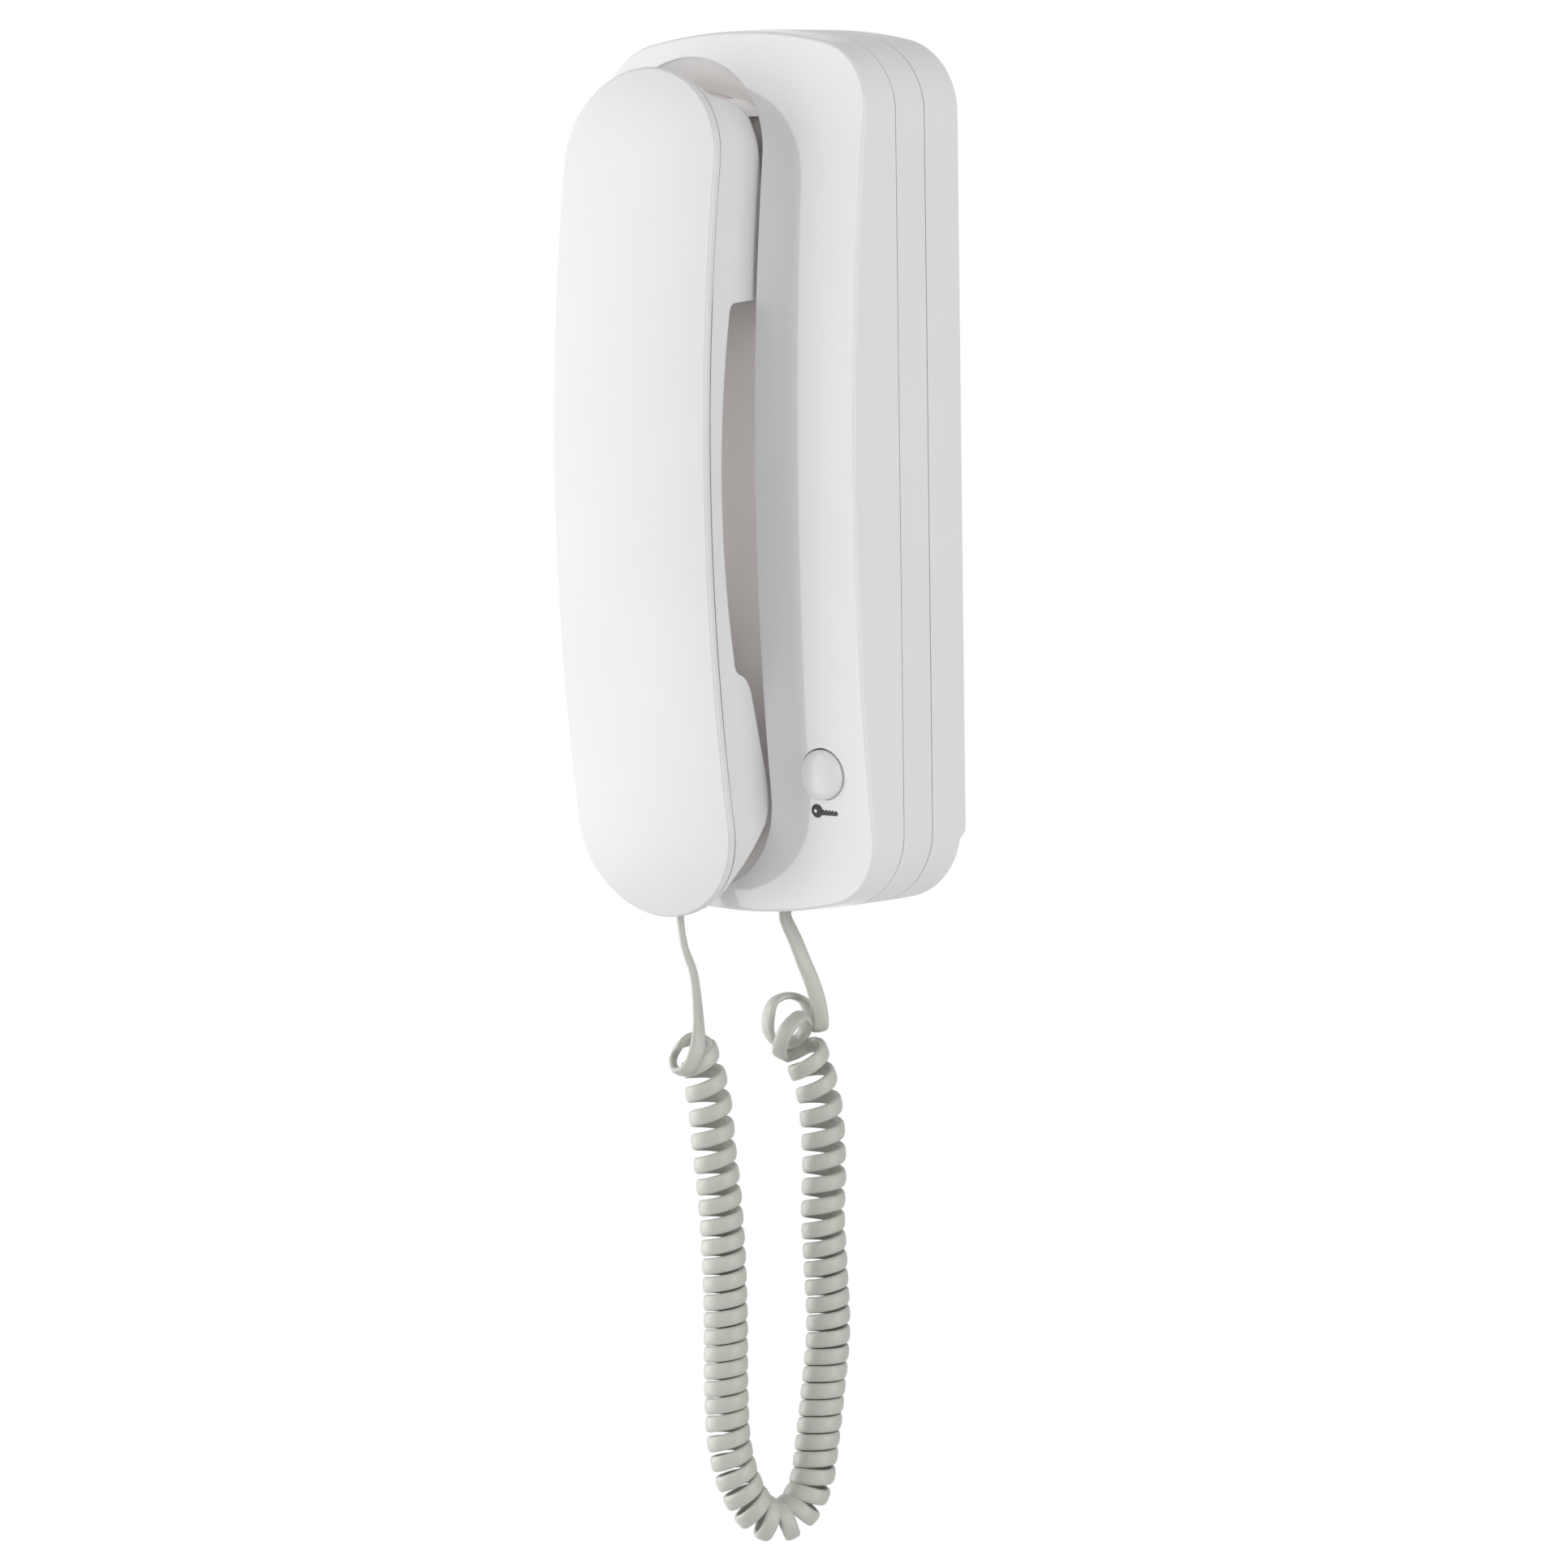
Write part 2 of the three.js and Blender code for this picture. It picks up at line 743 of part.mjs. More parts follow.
function doorSwitch() {
  const rear = boardFront + restGap;
  const housing = block(
    button.x - tact.half,
    button.x + tact.half,
    rear,
    rear + tact.height,
    button.z - tact.half,
    button.z + tact.half,
  );
  const plunger = peg(
    button.x,
    button.z,
    tact.plungerRadius,
    rear + tact.height - 0.2,
    rear + tact.height + tact.plungerHeight,
    14,
  );
  return housing.add(plunger);
}

// ---------------------------------------------------------------- board and its parts
function mainBoard() {
  const shape = new THREE.Shape();
  const { halfWidth, top, bottom } = board;
  const notchX = tower.x - tower.notch;
  const highZ = tower.z - tower.notch;
  shape.moveTo(-notchX, bottom);
  shape.lineTo(notchX, bottom);
  shape.lineTo(notchX, -highZ);
  shape.lineTo(halfWidth, -highZ);
  shape.lineTo(halfWidth, highZ);
  shape.lineTo(notchX, highZ);
  shape.lineTo(notchX, top);
  shape.lineTo(-notchX, top);
  shape.lineTo(-notchX, highZ);
  shape.lineTo(-halfWidth, highZ);
  shape.lineTo(-halfWidth, -highZ);
  shape.lineTo(-notchX, -highZ);
  shape.closePath();
  for (const side of [-1, 1]) {
    for (const end of [-1, 1]) {
      const hole = new THREE.Path();
      hole.absarc(side * boardSeat.x, end * boardSeat.z, boardSeat.hole, 0, Math.PI * 2, true);
      shape.holes.push(hole);
    }
  }
  return frontProfile(shape, board.rear, boardFront);
}

const terminal = { x: 22, z: 12, pitch: 5, ways: 5, width: 8.2, height: 9.6, screwRadius: 1.7 };
const terminalLength = terminal.ways * terminal.pitch;
const terminalZ = (way) => terminal.z + (way - (terminal.ways - 1) / 2) * terminal.pitch;

function terminalBlock() {
  const rear = boardFront + restGap;
  const front = rear + terminal.height;
  let housing = block(
    terminal.x - terminal.width / 2,
    terminal.x + terminal.width / 2,
    rear,
    front,
    terminal.z - terminalLength / 2,
    terminal.z + terminalLength / 2,
  );
  for (let way = 0; way < terminal.ways; way += 1) {
    const z = terminalZ(way);
    const well = peg(terminal.x - 0.8, z, terminal.screwRadius + 0.2, front - 4, front + 1, 12);
    const wire = block(terminal.x, terminal.x + 9, rear + 1, rear + 4, z - 1.5, z + 1.5);
    housing = housing.subtract(well).subtract(wire);
  }
  return housing;
}

function terminalScrew(way) {
  const front = boardFront + restGap + terminal.height;
  const z = terminalZ(way);
  const head = peg(terminal.x - 0.8, z, terminal.screwRadius, front - 3.8, front - 1.2, 12);
  const slot = block(terminal.x - 4, terminal.x + 4, front - 1.8, front, z - 0.3, z + 0.3);
  return head.subtract(slot);
}

// Fastening screw along the depth axis: a domed-edge head with a cross-slot side, and a shank.
function screwSolid(x, z, headBack, shankBack, headFaces = 1) {
  const headFront = headBack + headFaces * screw.headHeight;
  const [h0, h1] = [Math.min(headBack, headFront), Math.max(headBack, headFront)];
  const [s0, s1] = [Math.min(shankBack, headBack), Math.max(shankBack, headBack)];
  const overlap = 0.2;
  return peg(x, z, screw.headRadius, h0, h1, 14).add(
    peg(
      x,
      z,
      screw.shankRadius,
      headFaces > 0 ? s0 : s0 - overlap,
      headFaces > 0 ? s1 + overlap : s1,
      12,
    ),
  );
}

const sounder = { x: 19, z: -28, radius: 11, height: 7.6, portRadius: 1.6 };

function callSounder() {
  const rear = boardFront + restGap;
  return peg(sounder.x, sounder.z, sounder.radius, rear, rear + sounder.height, 28).subtract(
    peg(sounder.x, sounder.z, sounder.portRadius, rear + 2, rear + sounder.height + 1, 12),
  );
}

const capacitor = { x: -24, z: 30, radius: 4, length: 9.8, step: 12, count: 2 };

function capacitorSolid(i) {
  const rear = boardFront + restGap;
  const z = capacitor.z - i * capacitor.step;
  return peg(capacitor.x, z, capacitor.radius, rear, rear + capacitor.length, 20);
}

const hookSwitchSize = { halfX: 6.4, low: lever.top - 16, height: 6.2, plungerRadius: 1.2 };

function hookSwitch() {
  const rear = boardFront + restGap;
  const front = rear + hookSwitchSize.height;
  const housing = block(
    troughShift - hookSwitchSize.halfX,
    troughShift + hookSwitchSize.halfX,
    rear,
    front,
    hookSwitchSize.low - 2,
    hookSwitchSize.low + 4,
  );
  const plunger = peg(
    troughShift,
    hookSwitchSize.low + 1,
    hookSwitchSize.plungerRadius,
    front - 0.2,
    lever.backDepth - restGap,
    12,
  );
  return housing.add(plunger);
}

// ---------------------------------------------------------------- modular jacks and plugs
function jackSolid(port) {
  const mouth = port.plugEnd + modular.plugLength - modular.grip;
  const top = mouth + modular.jackLength;
  const halfWidth = modular.plugWidth / 2 + modular.jackWall;
  const halfThick = modular.plugThick / 2 + modular.jackWall;
  const housing = block(
    port.x - halfThick - modular.latchReach,
    port.x + halfThick,
    port.depth - halfWidth,
    port.depth + halfWidth,
    mouth,
    top,
  );
  const cavityTop = port.plugEnd + modular.plugLength + modular.clearance;
  return housing.subtract(portOpening(port, modular.clearance, mouth - 1, cavityTop));
}

function plugSolid(port) {
  const { plugWidth, plugThick, plugLength, latchReach, latchThick } = modular;
  const end = port.plugEnd;
  const side = port.x - plugThick / 2;
  const housing = block(
    side,
    port.x + plugThick / 2,
    port.depth - plugWidth / 2,
    port.depth + plugWidth / 2,
    end,
    end + plugLength,
  );
  const latchProfile = new THREE.Shape();
  latchProfile.moveTo(side + 0.3, end + plugLength - 1.4);
  latchProfile.lineTo(side + 0.3, end + plugLength - 2.6);
  latchProfile.lineTo(side - latchReach + latchThick, end + 1);
  latchProfile.lineTo(side - latchReach, end + 1);
  latchProfile.lineTo(side - 0.2, end + plugLength - 1.4);
  latchProfile.closePath();
  const latchHalf = 1.6;
  const latch = frontProfile(latchProfile, port.depth - latchHalf, port.depth + latchHalf);
  return housing.add(latch);
}

// ---------------------------------------------------------------- handset
// Side profile of the handset's back, from the top tip down, as [z, depth].
function backCurve() {
  const path = new THREE.Path();
  const mid = (earCup.low + mouthCup.high) / 2;
  const { top, bottom } = handset;
  path.moveTo(top + 2, 46.9);
  path.lineTo(top - 4.8, 46.6);
  path.quadraticCurveTo(top - 7.2, 46.2, top - 8.8, 42.4);
  path.quadraticCurveTo(top - 11, 39, top - 16.8, 36.8);
  path.quadraticCurveTo(top - 20, earCup.rear, earCup.flatTop, earCup.rear);
  path.lineTo(earCup.low + 5.3, earCup.rear);
  path.quadraticCurveTo(earCup.low, earCup.rear, earCup.low, earCup.rear + 5.5);
  path.lineTo(earCup.low - 0.4, handleBack.ends - 2.6);
  path.quadraticCurveTo(earCup.low - 0.5, handleBack.ends - 0.3, earCup.low - 3, handleBack.ends);
  path.quadraticCurveTo(mid, handleBack.ends + 2 * handleBack.arch, mouthCup.high + 3.5, handleBack.ends);
  path.quadraticCurveTo(mouthCup.high + 0.5, handleBack.ends - 0.2, mouthCup.high, handleBack.ends - 2.6);
  path.quadraticCurveTo(mouthCup.high - 1.2, 43.2, mouthCup.high - 5.6, 42.1);
  path.lineTo(bottom + 36.8, 37.7);
  path.quadraticCurveTo(bottom + 27.9, mouthCup.deepest - 0.9, mouthCup.low, 37.3);
  path.quadraticCurveTo(bottom + 13.9, 43.8, bottom + 9.3, 45);
  path.lineTo(bottom - 2, 45.2);
  return path.getPoints(6).map((p) => [p.y, p.x]);
}

function rearShell() {
  const joint = (z) => shellSeam(z) - seamGap / 2;
  const outline = (halfWidth) => stadium(halfWidth, handset.bottom + trim, handset.top - trim);
  const trim = handset.backInset;
  const tapered = solid(
    loft([
      ringAt(outline(handset.cupHalfWidth), handset.cupDepth, troughShift),
      ringAt(outline(handset.halfWidth - trim), 44.3, troughShift),
      ringAt(outline(handset.halfWidth - trim), joint, troughShift),
    ]),
  );
  const front = 70;
  const behind = sideProfile(
    [...backCurve(), [front, handset.bottom - 2], [front, handset.top + 2]],
    troughShift - 40,
    troughShift + 40,
  );
  let shell = tapered.intersect(behind);
  shell = shell.subtract(handleHollow()).subtract(earPockets()).subtract(mouthPockets());
  return shell;
}

// The handle is a shallow tray that the wires run in.
function handleHollow() {
  const half = handset.halfWidth - handset.wall - 1;
  const hollow = [];
  const steps = 10;
  const [low, high] = [mouthCup.high + 6, earCup.low - 5];
  const mid = (low + high) / 2;
  for (let i = 0; i <= steps; i += 1) {
    const z = mix(high, low, i / steps);
    const across = (z - mid) / (earCup.low - mid);
    hollow.push([handleBack.ends + handleBack.arch * (1 - across ** 2) + handset.wall + 0.3, z]);
  }
  return sideProfile([...hollow, [70, low], [70, high]], troughShift - half, troughShift + half)
    .subtract(screwPosts(0.8));
}

function screwPosts(extra) {
  const radius = shellScrew.postRadius + extra;
  return peg(troughShift, shellScrew.high, radius, 40, 70, 16).add(
    peg(troughShift, shellScrew.low, radius, 40, 70, 16),
  );
}

const backAt = (z) => {
  const mid = (earCup.low + mouthCup.high) / 2;
  return handleBack.ends + handleBack.arch * (1 - ((z - mid) / (earCup.low - mid)) ** 2);
};
const screwHeadDepth = (z) => backAt(z) + shellScrew.sink;

function earPockets() {
  const radius = earpiece.radius + earpiece.pocketGap;
  let cut = peg(troughShift, earpiece.z, radius, earpiece.floor, 70, 28);
  const hole = 0.9;
  const rows = [
    [0, 1],
    [3.6, 6],
    [7.2, 12],
  ];
  for (const [ring, count] of rows) {
    for (let i = 0; i < count; i += 1) {
      const angle = (i / count) * Math.PI * 2;
      const x = troughShift + ring * Math.cos(angle);
      const z = earpiece.z + ring * Math.sin(angle);
      cut = cut.add(peg(x, z, hole, earCup.rear - 2, earpiece.floor + 1, 8));
    }
  }
  const wireWay = block(
    troughShift - 14,
    troughShift - 9,
    50,
    70,
    earCup.low - 8,
    earpiece.z,
  );
  const recess = lugSolid(slip, trough.floorDepth - 2, lug.reach + 1.6);
  return cut.add(wireWay).add(recess);
}

function mouthPockets() {
  const bootRadius = mouthpiece.radius + mouthpiece.boot + restGap;
  let cut = peg(troughShift, mouthpiece.z, bootRadius, mouthpiece.floor, 70, 24);
  for (const side of [-1, 0, 1]) {
    const x = troughShift + side * 3;
    cut = cut.add(block(x - 0.7, x + 0.7, 34, mouthpiece.floor + 1, mouthpiece.z - 3, mouthpiece.z + 3));
  }
  const halfWidth = modular.plugWidth / 2 + modular.jackWall + restGap;
  const halfThick = modular.plugThick / 2 + modular.jackWall + restGap;
  const mouth = handsetPort.plugEnd + modular.plugLength - modular.grip;
  const jackRoom = block(
    handsetPort.x - halfThick - modular.latchReach,
    handsetPort.x + halfThick,
    handsetPort.depth - halfWidth,
    70,
    mouth - restGap,
    mouth + modular.jackLength + restGap,
  );
  const slotIn = portOpening(handsetPort, 0.5, handset.bottom - 3, mouth + 1);
  const wireWay = block(troughShift - 14, troughShift - 9, 51, 70, mouth + 3, mouthCup.high + 8);
  return cut.add(jackRoom).add(slotIn).add(wireWay);
}

function frontShell() {
  const outline = (inset) =>
    stadium(handset.halfWidth - inset, handset.bottom + inset, handset.top - inset);
  const joint = (z) => shellSeam(z) + seamGap / 2;
  const crowned = (inset) => (z) =>
    shellEdge(z) + handset.crown * (1 - ((handset.halfWidth - inset) / handset.halfWidth) ** 2);
  const outer = solid(
    loft([
      ringAt(outline(0), joint, troughShift),
      ringAt(outline(0), (z) => shellEdge(z) - 1, troughShift),
      ringAt(outline(0.5), (z) => shellEdge(z) - 0.3, troughShift),
      ringAt(outline(1.5), (z) => shellEdge(z) + 0.1, troughShift),
      ringAt(outline(6), crowned(6), troughShift),
      ringAt(outline(14), crowned(14), troughShift),
    ]),
  );
  const { wall } = handset;
  const inner = solid(
    loft([
      ringAt(outline(wall), (z) => shellSeam(z) - 1, troughShift),
      ringAt(outline(wall + 0.4), (z) => shellEdge(z) - wall, troughShift),
      ringAt(outline(wall + 6), (z) => shellEdge(z) - wall + 0.5, troughShift),
    ]),
  );
  let shell = outer.subtract(inner);
  const posts = [
    [shellScrew.high, shellScrew.postRadius, screwHeadDepth(shellScrew.high) + shellScrew.seat],
    [shellScrew.low, shellScrew.postRadius, screwHeadDepth(shellScrew.low) + shellScrew.seat],
    [earpiece.z, earpiece.radius - 1, earpiece.floor + restGap + earpiece.height],
    [mouthpiece.z, mouthpiece.radius, mouthpiece.floor + restGap + mouthpiece.height],
  ];
  for (const [z, radius, back] of posts) {
    const post = peg(troughShift, z, radius, back + restGap, 70, 20).intersect(behindFace(outer));
    shell = shell.add(post);
  }
  for (const [z, radius, back] of posts.slice(0, 2)) {
    const pilot = peg(troughShift, z, screw.pilot, back - 1, back + 4.2, 12);
    shell = shell.subtract(pilot);
  }
  const bore = earpiece.radius - 1 - earpiece.rib;
  const earBack = earpiece.floor + earpiece.height;
  const earFront = shellEdge(earpiece.z) - wall;
  shell = shell.subtract(peg(troughShift, earpiece.z, bore, earBack - 1, earFront, 20));
  return shell;
}

// The space behind the front shell's face, down to well behind the joint line.
function behindFace(outer) {
  const outline = stadium(handset.halfWidth - 1, handset.bottom + 1, handset.top - 1);
  const behind = solid(
    loft([
      ringAt(outline, 30, troughShift),
      ringAt(outline, (z) => shellSeam(z) + 0.5, troughShift),
    ]),
  );
  return outer.add(behind);
}

function earCapsule() {
  const rear = earpiece.floor + restGap;
  const rim = peg(troughShift, earpiece.z, earpiece.radius, rear, rear + 4, 28);
  const can = peg(troughShift, earpiece.z, earpiece.radius - 3.4, rear + 3, rear + earpiece.height - 2, 24);
  const lip = peg(troughShift, earpiece.z, earpiece.radius - 0.6, rear + 3, rear + earpiece.height, 28)
    .subtract(peg(troughShift, earpiece.z, earpiece.radius - 2.8, rear + 3.2, rear + 20, 24));
  return rim.add(can).add(lip);
}

function micBoot() {
  const rear = mouthpiece.floor + restGap;
  const outer = peg(
    troughShift,
    mouthpiece.z,
    mouthpiece.radius + mouthpiece.boot,
    rear,
    rear + mouthpiece.height,
    24,
  );
  const floor = rear + mouthpiece.bootFloor;
  return outer
    .subtract(peg(troughShift, mouthpiece.z, mouthpiece.radius + 0.15, floor, rear + 20, 24))
    .subtract(peg(troughShift, mouthpiece.z, 2, rear - 1, floor + 1, 12));
}

function microphone() {
  const rear = mouthpiece.floor + restGap + mouthpiece.bootFloor + 0.15;
  const front = mouthpiece.floor + restGap + mouthpiece.height - 0.1;
  return peg(troughShift, mouthpiece.z, mouthpiece.radius, rear, front, 24);
}

// ---------------------------------------------------------------- cord
// The cord hangs in the upright plane through the two ports. A place on it is given by h,
// the distance along the plane from the handset's port, by its drop below the phone's foot,
// and by how far it stands out of the plane.
const planeStart = new THREE.Vector2(handsetPort.x, handsetPort.depth);
const planeStep = new THREE.Vector2(basePort.x, basePort.depth).sub(planeStart);
const planeUnit = planeStep.clone().normalize();
const inPlane = (h, drop, out = 0) => {
  const x = planeStart.x + planeUnit.x * h - planeUnit.y * out;
  const depth = planeStart.y + planeUnit.y * h + planeUnit.x * out;
  return new THREE.Vector3(x, -depth, -body.height / 2 - drop);
};

// Line that the coil is wound round, as [h, drop], from the handset's end down and up again
// to the base's.
const coilAxis = new THREE.CatmullRomCurve3(
  [
    [3.9, 33.5],
    [4.6, 36],
    [5.2, 39.2],
    [6, 43],
    [6.7, 47.2],
    [7.5, 56.9],
    [8.6, 66.9],
    [9.5, 80.9],
    [9.9, 96.9],
    [9.8, 116.9],
    [10.4, 128.9],
    [13, 138.9],
    [17.6, 146.3],
    [23, 148.7],
    [28, 146.3],
    [31.6, 140.1],
    [33.6, 128.9],
    [35.2, 116.9],
    [36.7, 102.9],
    [36.2, 86.9],
    [35.7, 74.9],
    [36.2, 62.9],
    [35.7, 50.9],
    [34.5, 43.3],
    [33, 38.9],
    [31.7, 35.6],
  ].map(([h, drop]) => inPlane(h, drop)),
  false,
  'centripetal',
);

// The coil's line in short steps, with its direction, how sharply it bends, and a sideways
// direction that is carried along without twisting and starts out of the plane.
function axisSamples() {
  const step = 0.25;
  const count = Math.round(coilAxis.getLength() / step);
  const points = coilAxis.getSpacedPoints(count);
  const directionOver = (i, reach) =>
    new THREE.Vector3()
      .subVectors(points[Math.min(count, i + reach)], points[Math.max(0, i - reach)])
      .normalize();
  let side = new THREE.Vector3(-planeUnit.y, -planeUnit.x, 0);
  return points.map((point, i) => {
    const along = directionOver(i, 2);
    side = side.clone().addScaledVector(along, -side.dot(along)).normalize();
    const window = 8;
    const [low, high] = [Math.max(0, i - window), Math.min(count, i + window)];
    const bend = directionOver(low, 2).angleTo(directionOver(high, 2)) / ((high - low) * step);
    return { point, along, side, bend, distance: i * step, step };
  });
}

// The strap's centre line and the way its flat side faces: a helix round the coil's line,
// from its right side to its right side. Where that line bends, the pitch opens until the
// turns clear each other on the inside.
function coilRoute() {
  const samples = axisSamples();
  const length = samples.at(-1).distance;
  const outerRadius = cord.coilRadius + cord.thickness / 2;
  const pitchAt = ({ distance, bend }) => {
    const fromEnd = Math.min(distance, length - distance);
    const pitch = mix(cord.openPitch, cord.pitch, smooth(fromEnd / cord.openReach));
    return pitch / (1 - Math.min(0.5, outerRadius * bend));
  };
  let natural = 0;
  const turned = samples.map((sample) => {
    const before = natural;
    natural += sample.step / pitchAt(sample);
    return before;
  });
  const total = Math.round(turned.at(-1) - 0.5) + 0.5;
  const route = [];
  let i = 0;
  for (let n = 0; n <= Math.round(total * cord.curlSteps); n += 1) {
    const turn = n / cord.curlSteps;
    const target = (turn / total) * turned.at(-1);
    while (i < samples.length - 2 && turned[i + 1] < target) {
      i += 1;
    }
    const part = (target - turned[i]) / (turned[i + 1] - turned[i]);
    const centre = samples[i].point.clone().lerp(samples[i + 1].point, part);
    const { along, side } = samples[i];
    const angle = (turn - 0.25) * Math.PI * 2;
    const outward = side
      .clone()
      .multiplyScalar(Math.cos(angle))
      .addScaledVector(new THREE.Vector3().crossVectors(along, side), Math.sin(angle));
    const first = 1 - smooth(turn / cord.endTurns);
    const last = 1 - smooth((total - turn) / cord.endTurns);
    const radius =
      cord.coilRadius +
      (cord.firstRadius - cord.coilRadius) * first +
      (cord.lastRadius - cord.coilRadius) * last;
    route.push({ point: centre.addScaledVector(outward, radius), outward });
  }
  const back = new THREE.Vector3(planeUnit.y, planeUnit.x, 0).multiplyScalar(cord.runOut);
  const runOut = ({ point, outward }) => ({ point: point.clone().add(back), outward });
  route.unshift(runOut(route[0]));
  route.push(runOut(route.at(-1)));
  return { route, turns: total };
}

// A flat cord: a ring of points round each station, its width square to "outward".
function ribbon(route, sides, width, thickness) {
  const rings = route.map(({ point, outward }, i) => {
    const before = route[Math.max(0, i - 1)].point;
    const after = route[Math.min(route.length - 1, i + 1)].point;
    const along = new THREE.Vector3().subVectors(after, before).normalize();
    const wide = new THREE.Vector3().crossVectors(along, outward).normalize();
    const thick = new THREE.Vector3().crossVectors(wide, along).normalize();
    return Array.from({ length: sides }, (_, k) => {
      const angle = ((k + 0.5) / sides) * Math.PI * 2;
      return point
        .clone()
        .addScaledVector(wide, (Math.cos(angle) * width) / 2)
        .addScaledVector(thick, (Math.sin(angle) * thickness) / 2);
    });
  });
  const positions = rings.flat().flatMap((p) => [p.x, p.y, p.z]);
  const index = [];
  for (let ring = 0; ring < rings.length - 1; ring += 1) {
    for (let k = 0; k < sides; k += 1) {
      const a = ring * sides + k;
      const b = ring * sides + ((k + 1) % sides);
      index.push(a, b + sides, b, a, a + sides, b + sides);
    }
  }
  const lastRing = (rings.length - 1) * sides;
  for (let k = 1; k < sides - 1; k += 1) {
    index.push(0, k, k + 1, lastRing, lastRing + k + 1, lastRing + k);
  }
  const geometry = new THREE.BufferGeometry();
  geometry.setAttribute('position', new THREE.Float32BufferAttribute(positions, 3));
  geometry.setIndex(index);
  if (signedVolume(geometry) < 0) {
    for (let i = 0; i < index.length; i += 3) {
      [index[i + 1], index[i + 2]] = [index[i + 2], index[i + 1]];
    }
    geometry.setIndex(index);
  }
  return { geometry, rings };
}

// Least distance between the points of turns that aren't next to each other on the tube.
function leastGap(rings, skip) {
  let least = Infinity;
  for (let i = 0; i < rings.length; i += 1) {
    for (let j = i + skip; j < rings.length; j += 1) {
      for (const a of rings[i]) {
        for (const b of rings[j]) {
          least = Math.min(least, a.distanceToSquared(b));
        }
      }
    }
  }
  return Math.sqrt(least);
}

// A free end of the cord: from a plug down, round the last loops, to the end of the coil. It
// passes through [h, drop, out] points. Its flat side first turns by the given facings, each
// a length from the plug and an angle about Z. After them it faces away from the inside of
// the curve, as a flat strap does. Stations lie closer together where the curve is tight.
function leadRoute(port, coilEnd, coilNext, middle, facings, steps) {
  const top = new THREE.Vector3(port.x, -port.depth, port.plugEnd - restGap);
  const away = new THREE.Vector3().subVectors(coilEnd.point, coilNext.point).normalize();
  const end = coilEnd.point.clone().addScaledVector(away, restGap);
  const curve = new THREE.CatmullRomCurve3(
    [
      top,
      top.clone().add(new THREE.Vector3(0, 0, -cord.runOut)),
      ...middle.map(([h, drop, out]) => inPlane(h, drop, out)),
      end.clone().addScaledVector(away, cord.runOut),
      end,
    ],
    false,
    'centripetal',
  );
  curve.arcLengthDivisions = 1000;
  const fine = 400;
  const points = curve.getSpacedPoints(fine);
  const spacing = curve.getLength() / fine;
  const at = (i) => Math.min(fine, Math.max(0, i));
  const along = points.map((_, i) =>
    new THREE.Vector3().subVectors(points[at(i + 1)], points[at(i - 1)]).normalize(),
  );
  const reach = Math.round(1.6 / spacing);
  const wanted = points.map((_, i) => {
    const distance = i * spacing;
    const guided = 1 - smooth((distance - facings.at(-1)[0]) / 3);
    const next = Math.max(
      1,
      facings.findIndex(([place]) => place >= distance),
    );
    const [from, to] = distance > facings.at(-1)[0] ? facings.slice(-2) : facings.slice(next - 1);
    const part = Math.min(1, (distance - from[0]) / (to[0] - from[0]));
    const angle = radians(mix(from[1], to[1], part));
    const middleOf = Math.min(fine - reach, Math.max(reach, i));
    const curl = points[middleOf]
      .clone()
      .multiplyScalar(2)
      .sub(points[middleOf - reach])
      .sub(points[middleOf + reach])
      .multiplyScalar(6 / (reach * spacing) ** 2);
    return new THREE.Vector3(Math.cos(angle), Math.sin(angle), 0)
      .multiplyScalar(guided)
      .addScaledVector(curl, 1 - guided);
  });
  const spread = Math.round(1.4 / spacing);
  const facingAt = (i) => {
    const sum = new THREE.Vector3();
    let weights = 0;
    for (let k = -3 * spread; k <= 3 * spread; k += 1) {
      const weight = Math.exp(-0.5 * (k / spread) ** 2);
      sum.addScaledVector(i + k > fine ? coilEnd.outward : wanted[at(i + k)], weight);
      weights += weight;
    }
    const settled = smooth(((i - fine) * spacing) / 4 + 1);
    const facing = sum.divideScalar(weights).lerp(coilEnd.outward, settled);
    return facing.addScaledVector(along[i], -facing.dot(along[i])).normalize();
  };
  const load = [0];
  for (let i = 1; i <= fine; i += 1) {
    load.push(load[i - 1] + spacing + 3 * along[i].angleTo(along[i - 1]));
  }
  return Array.from({ length: steps + 1 }, (_, n) => {
    const target = (n / steps) * load[fine];
    const nearest = Math.max(
      0,
      load.findIndex((value) => value >= target - 1e-9),
    );
    return { point: points[nearest], outward: facingAt(nearest) };
  });
}

const { route: coil, turns: coilTurns } = coilRoute();
const coilTube = ribbon(coil, 5, cord.width, cord.thickness);
const turnGap = leastGap(coilTube.rings, cord.curlSteps - 2);
console.log(`cord: ${coilTurns.toFixed(1)} turns, least gap to itself ${turnGap.toFixed(2)} mm`);

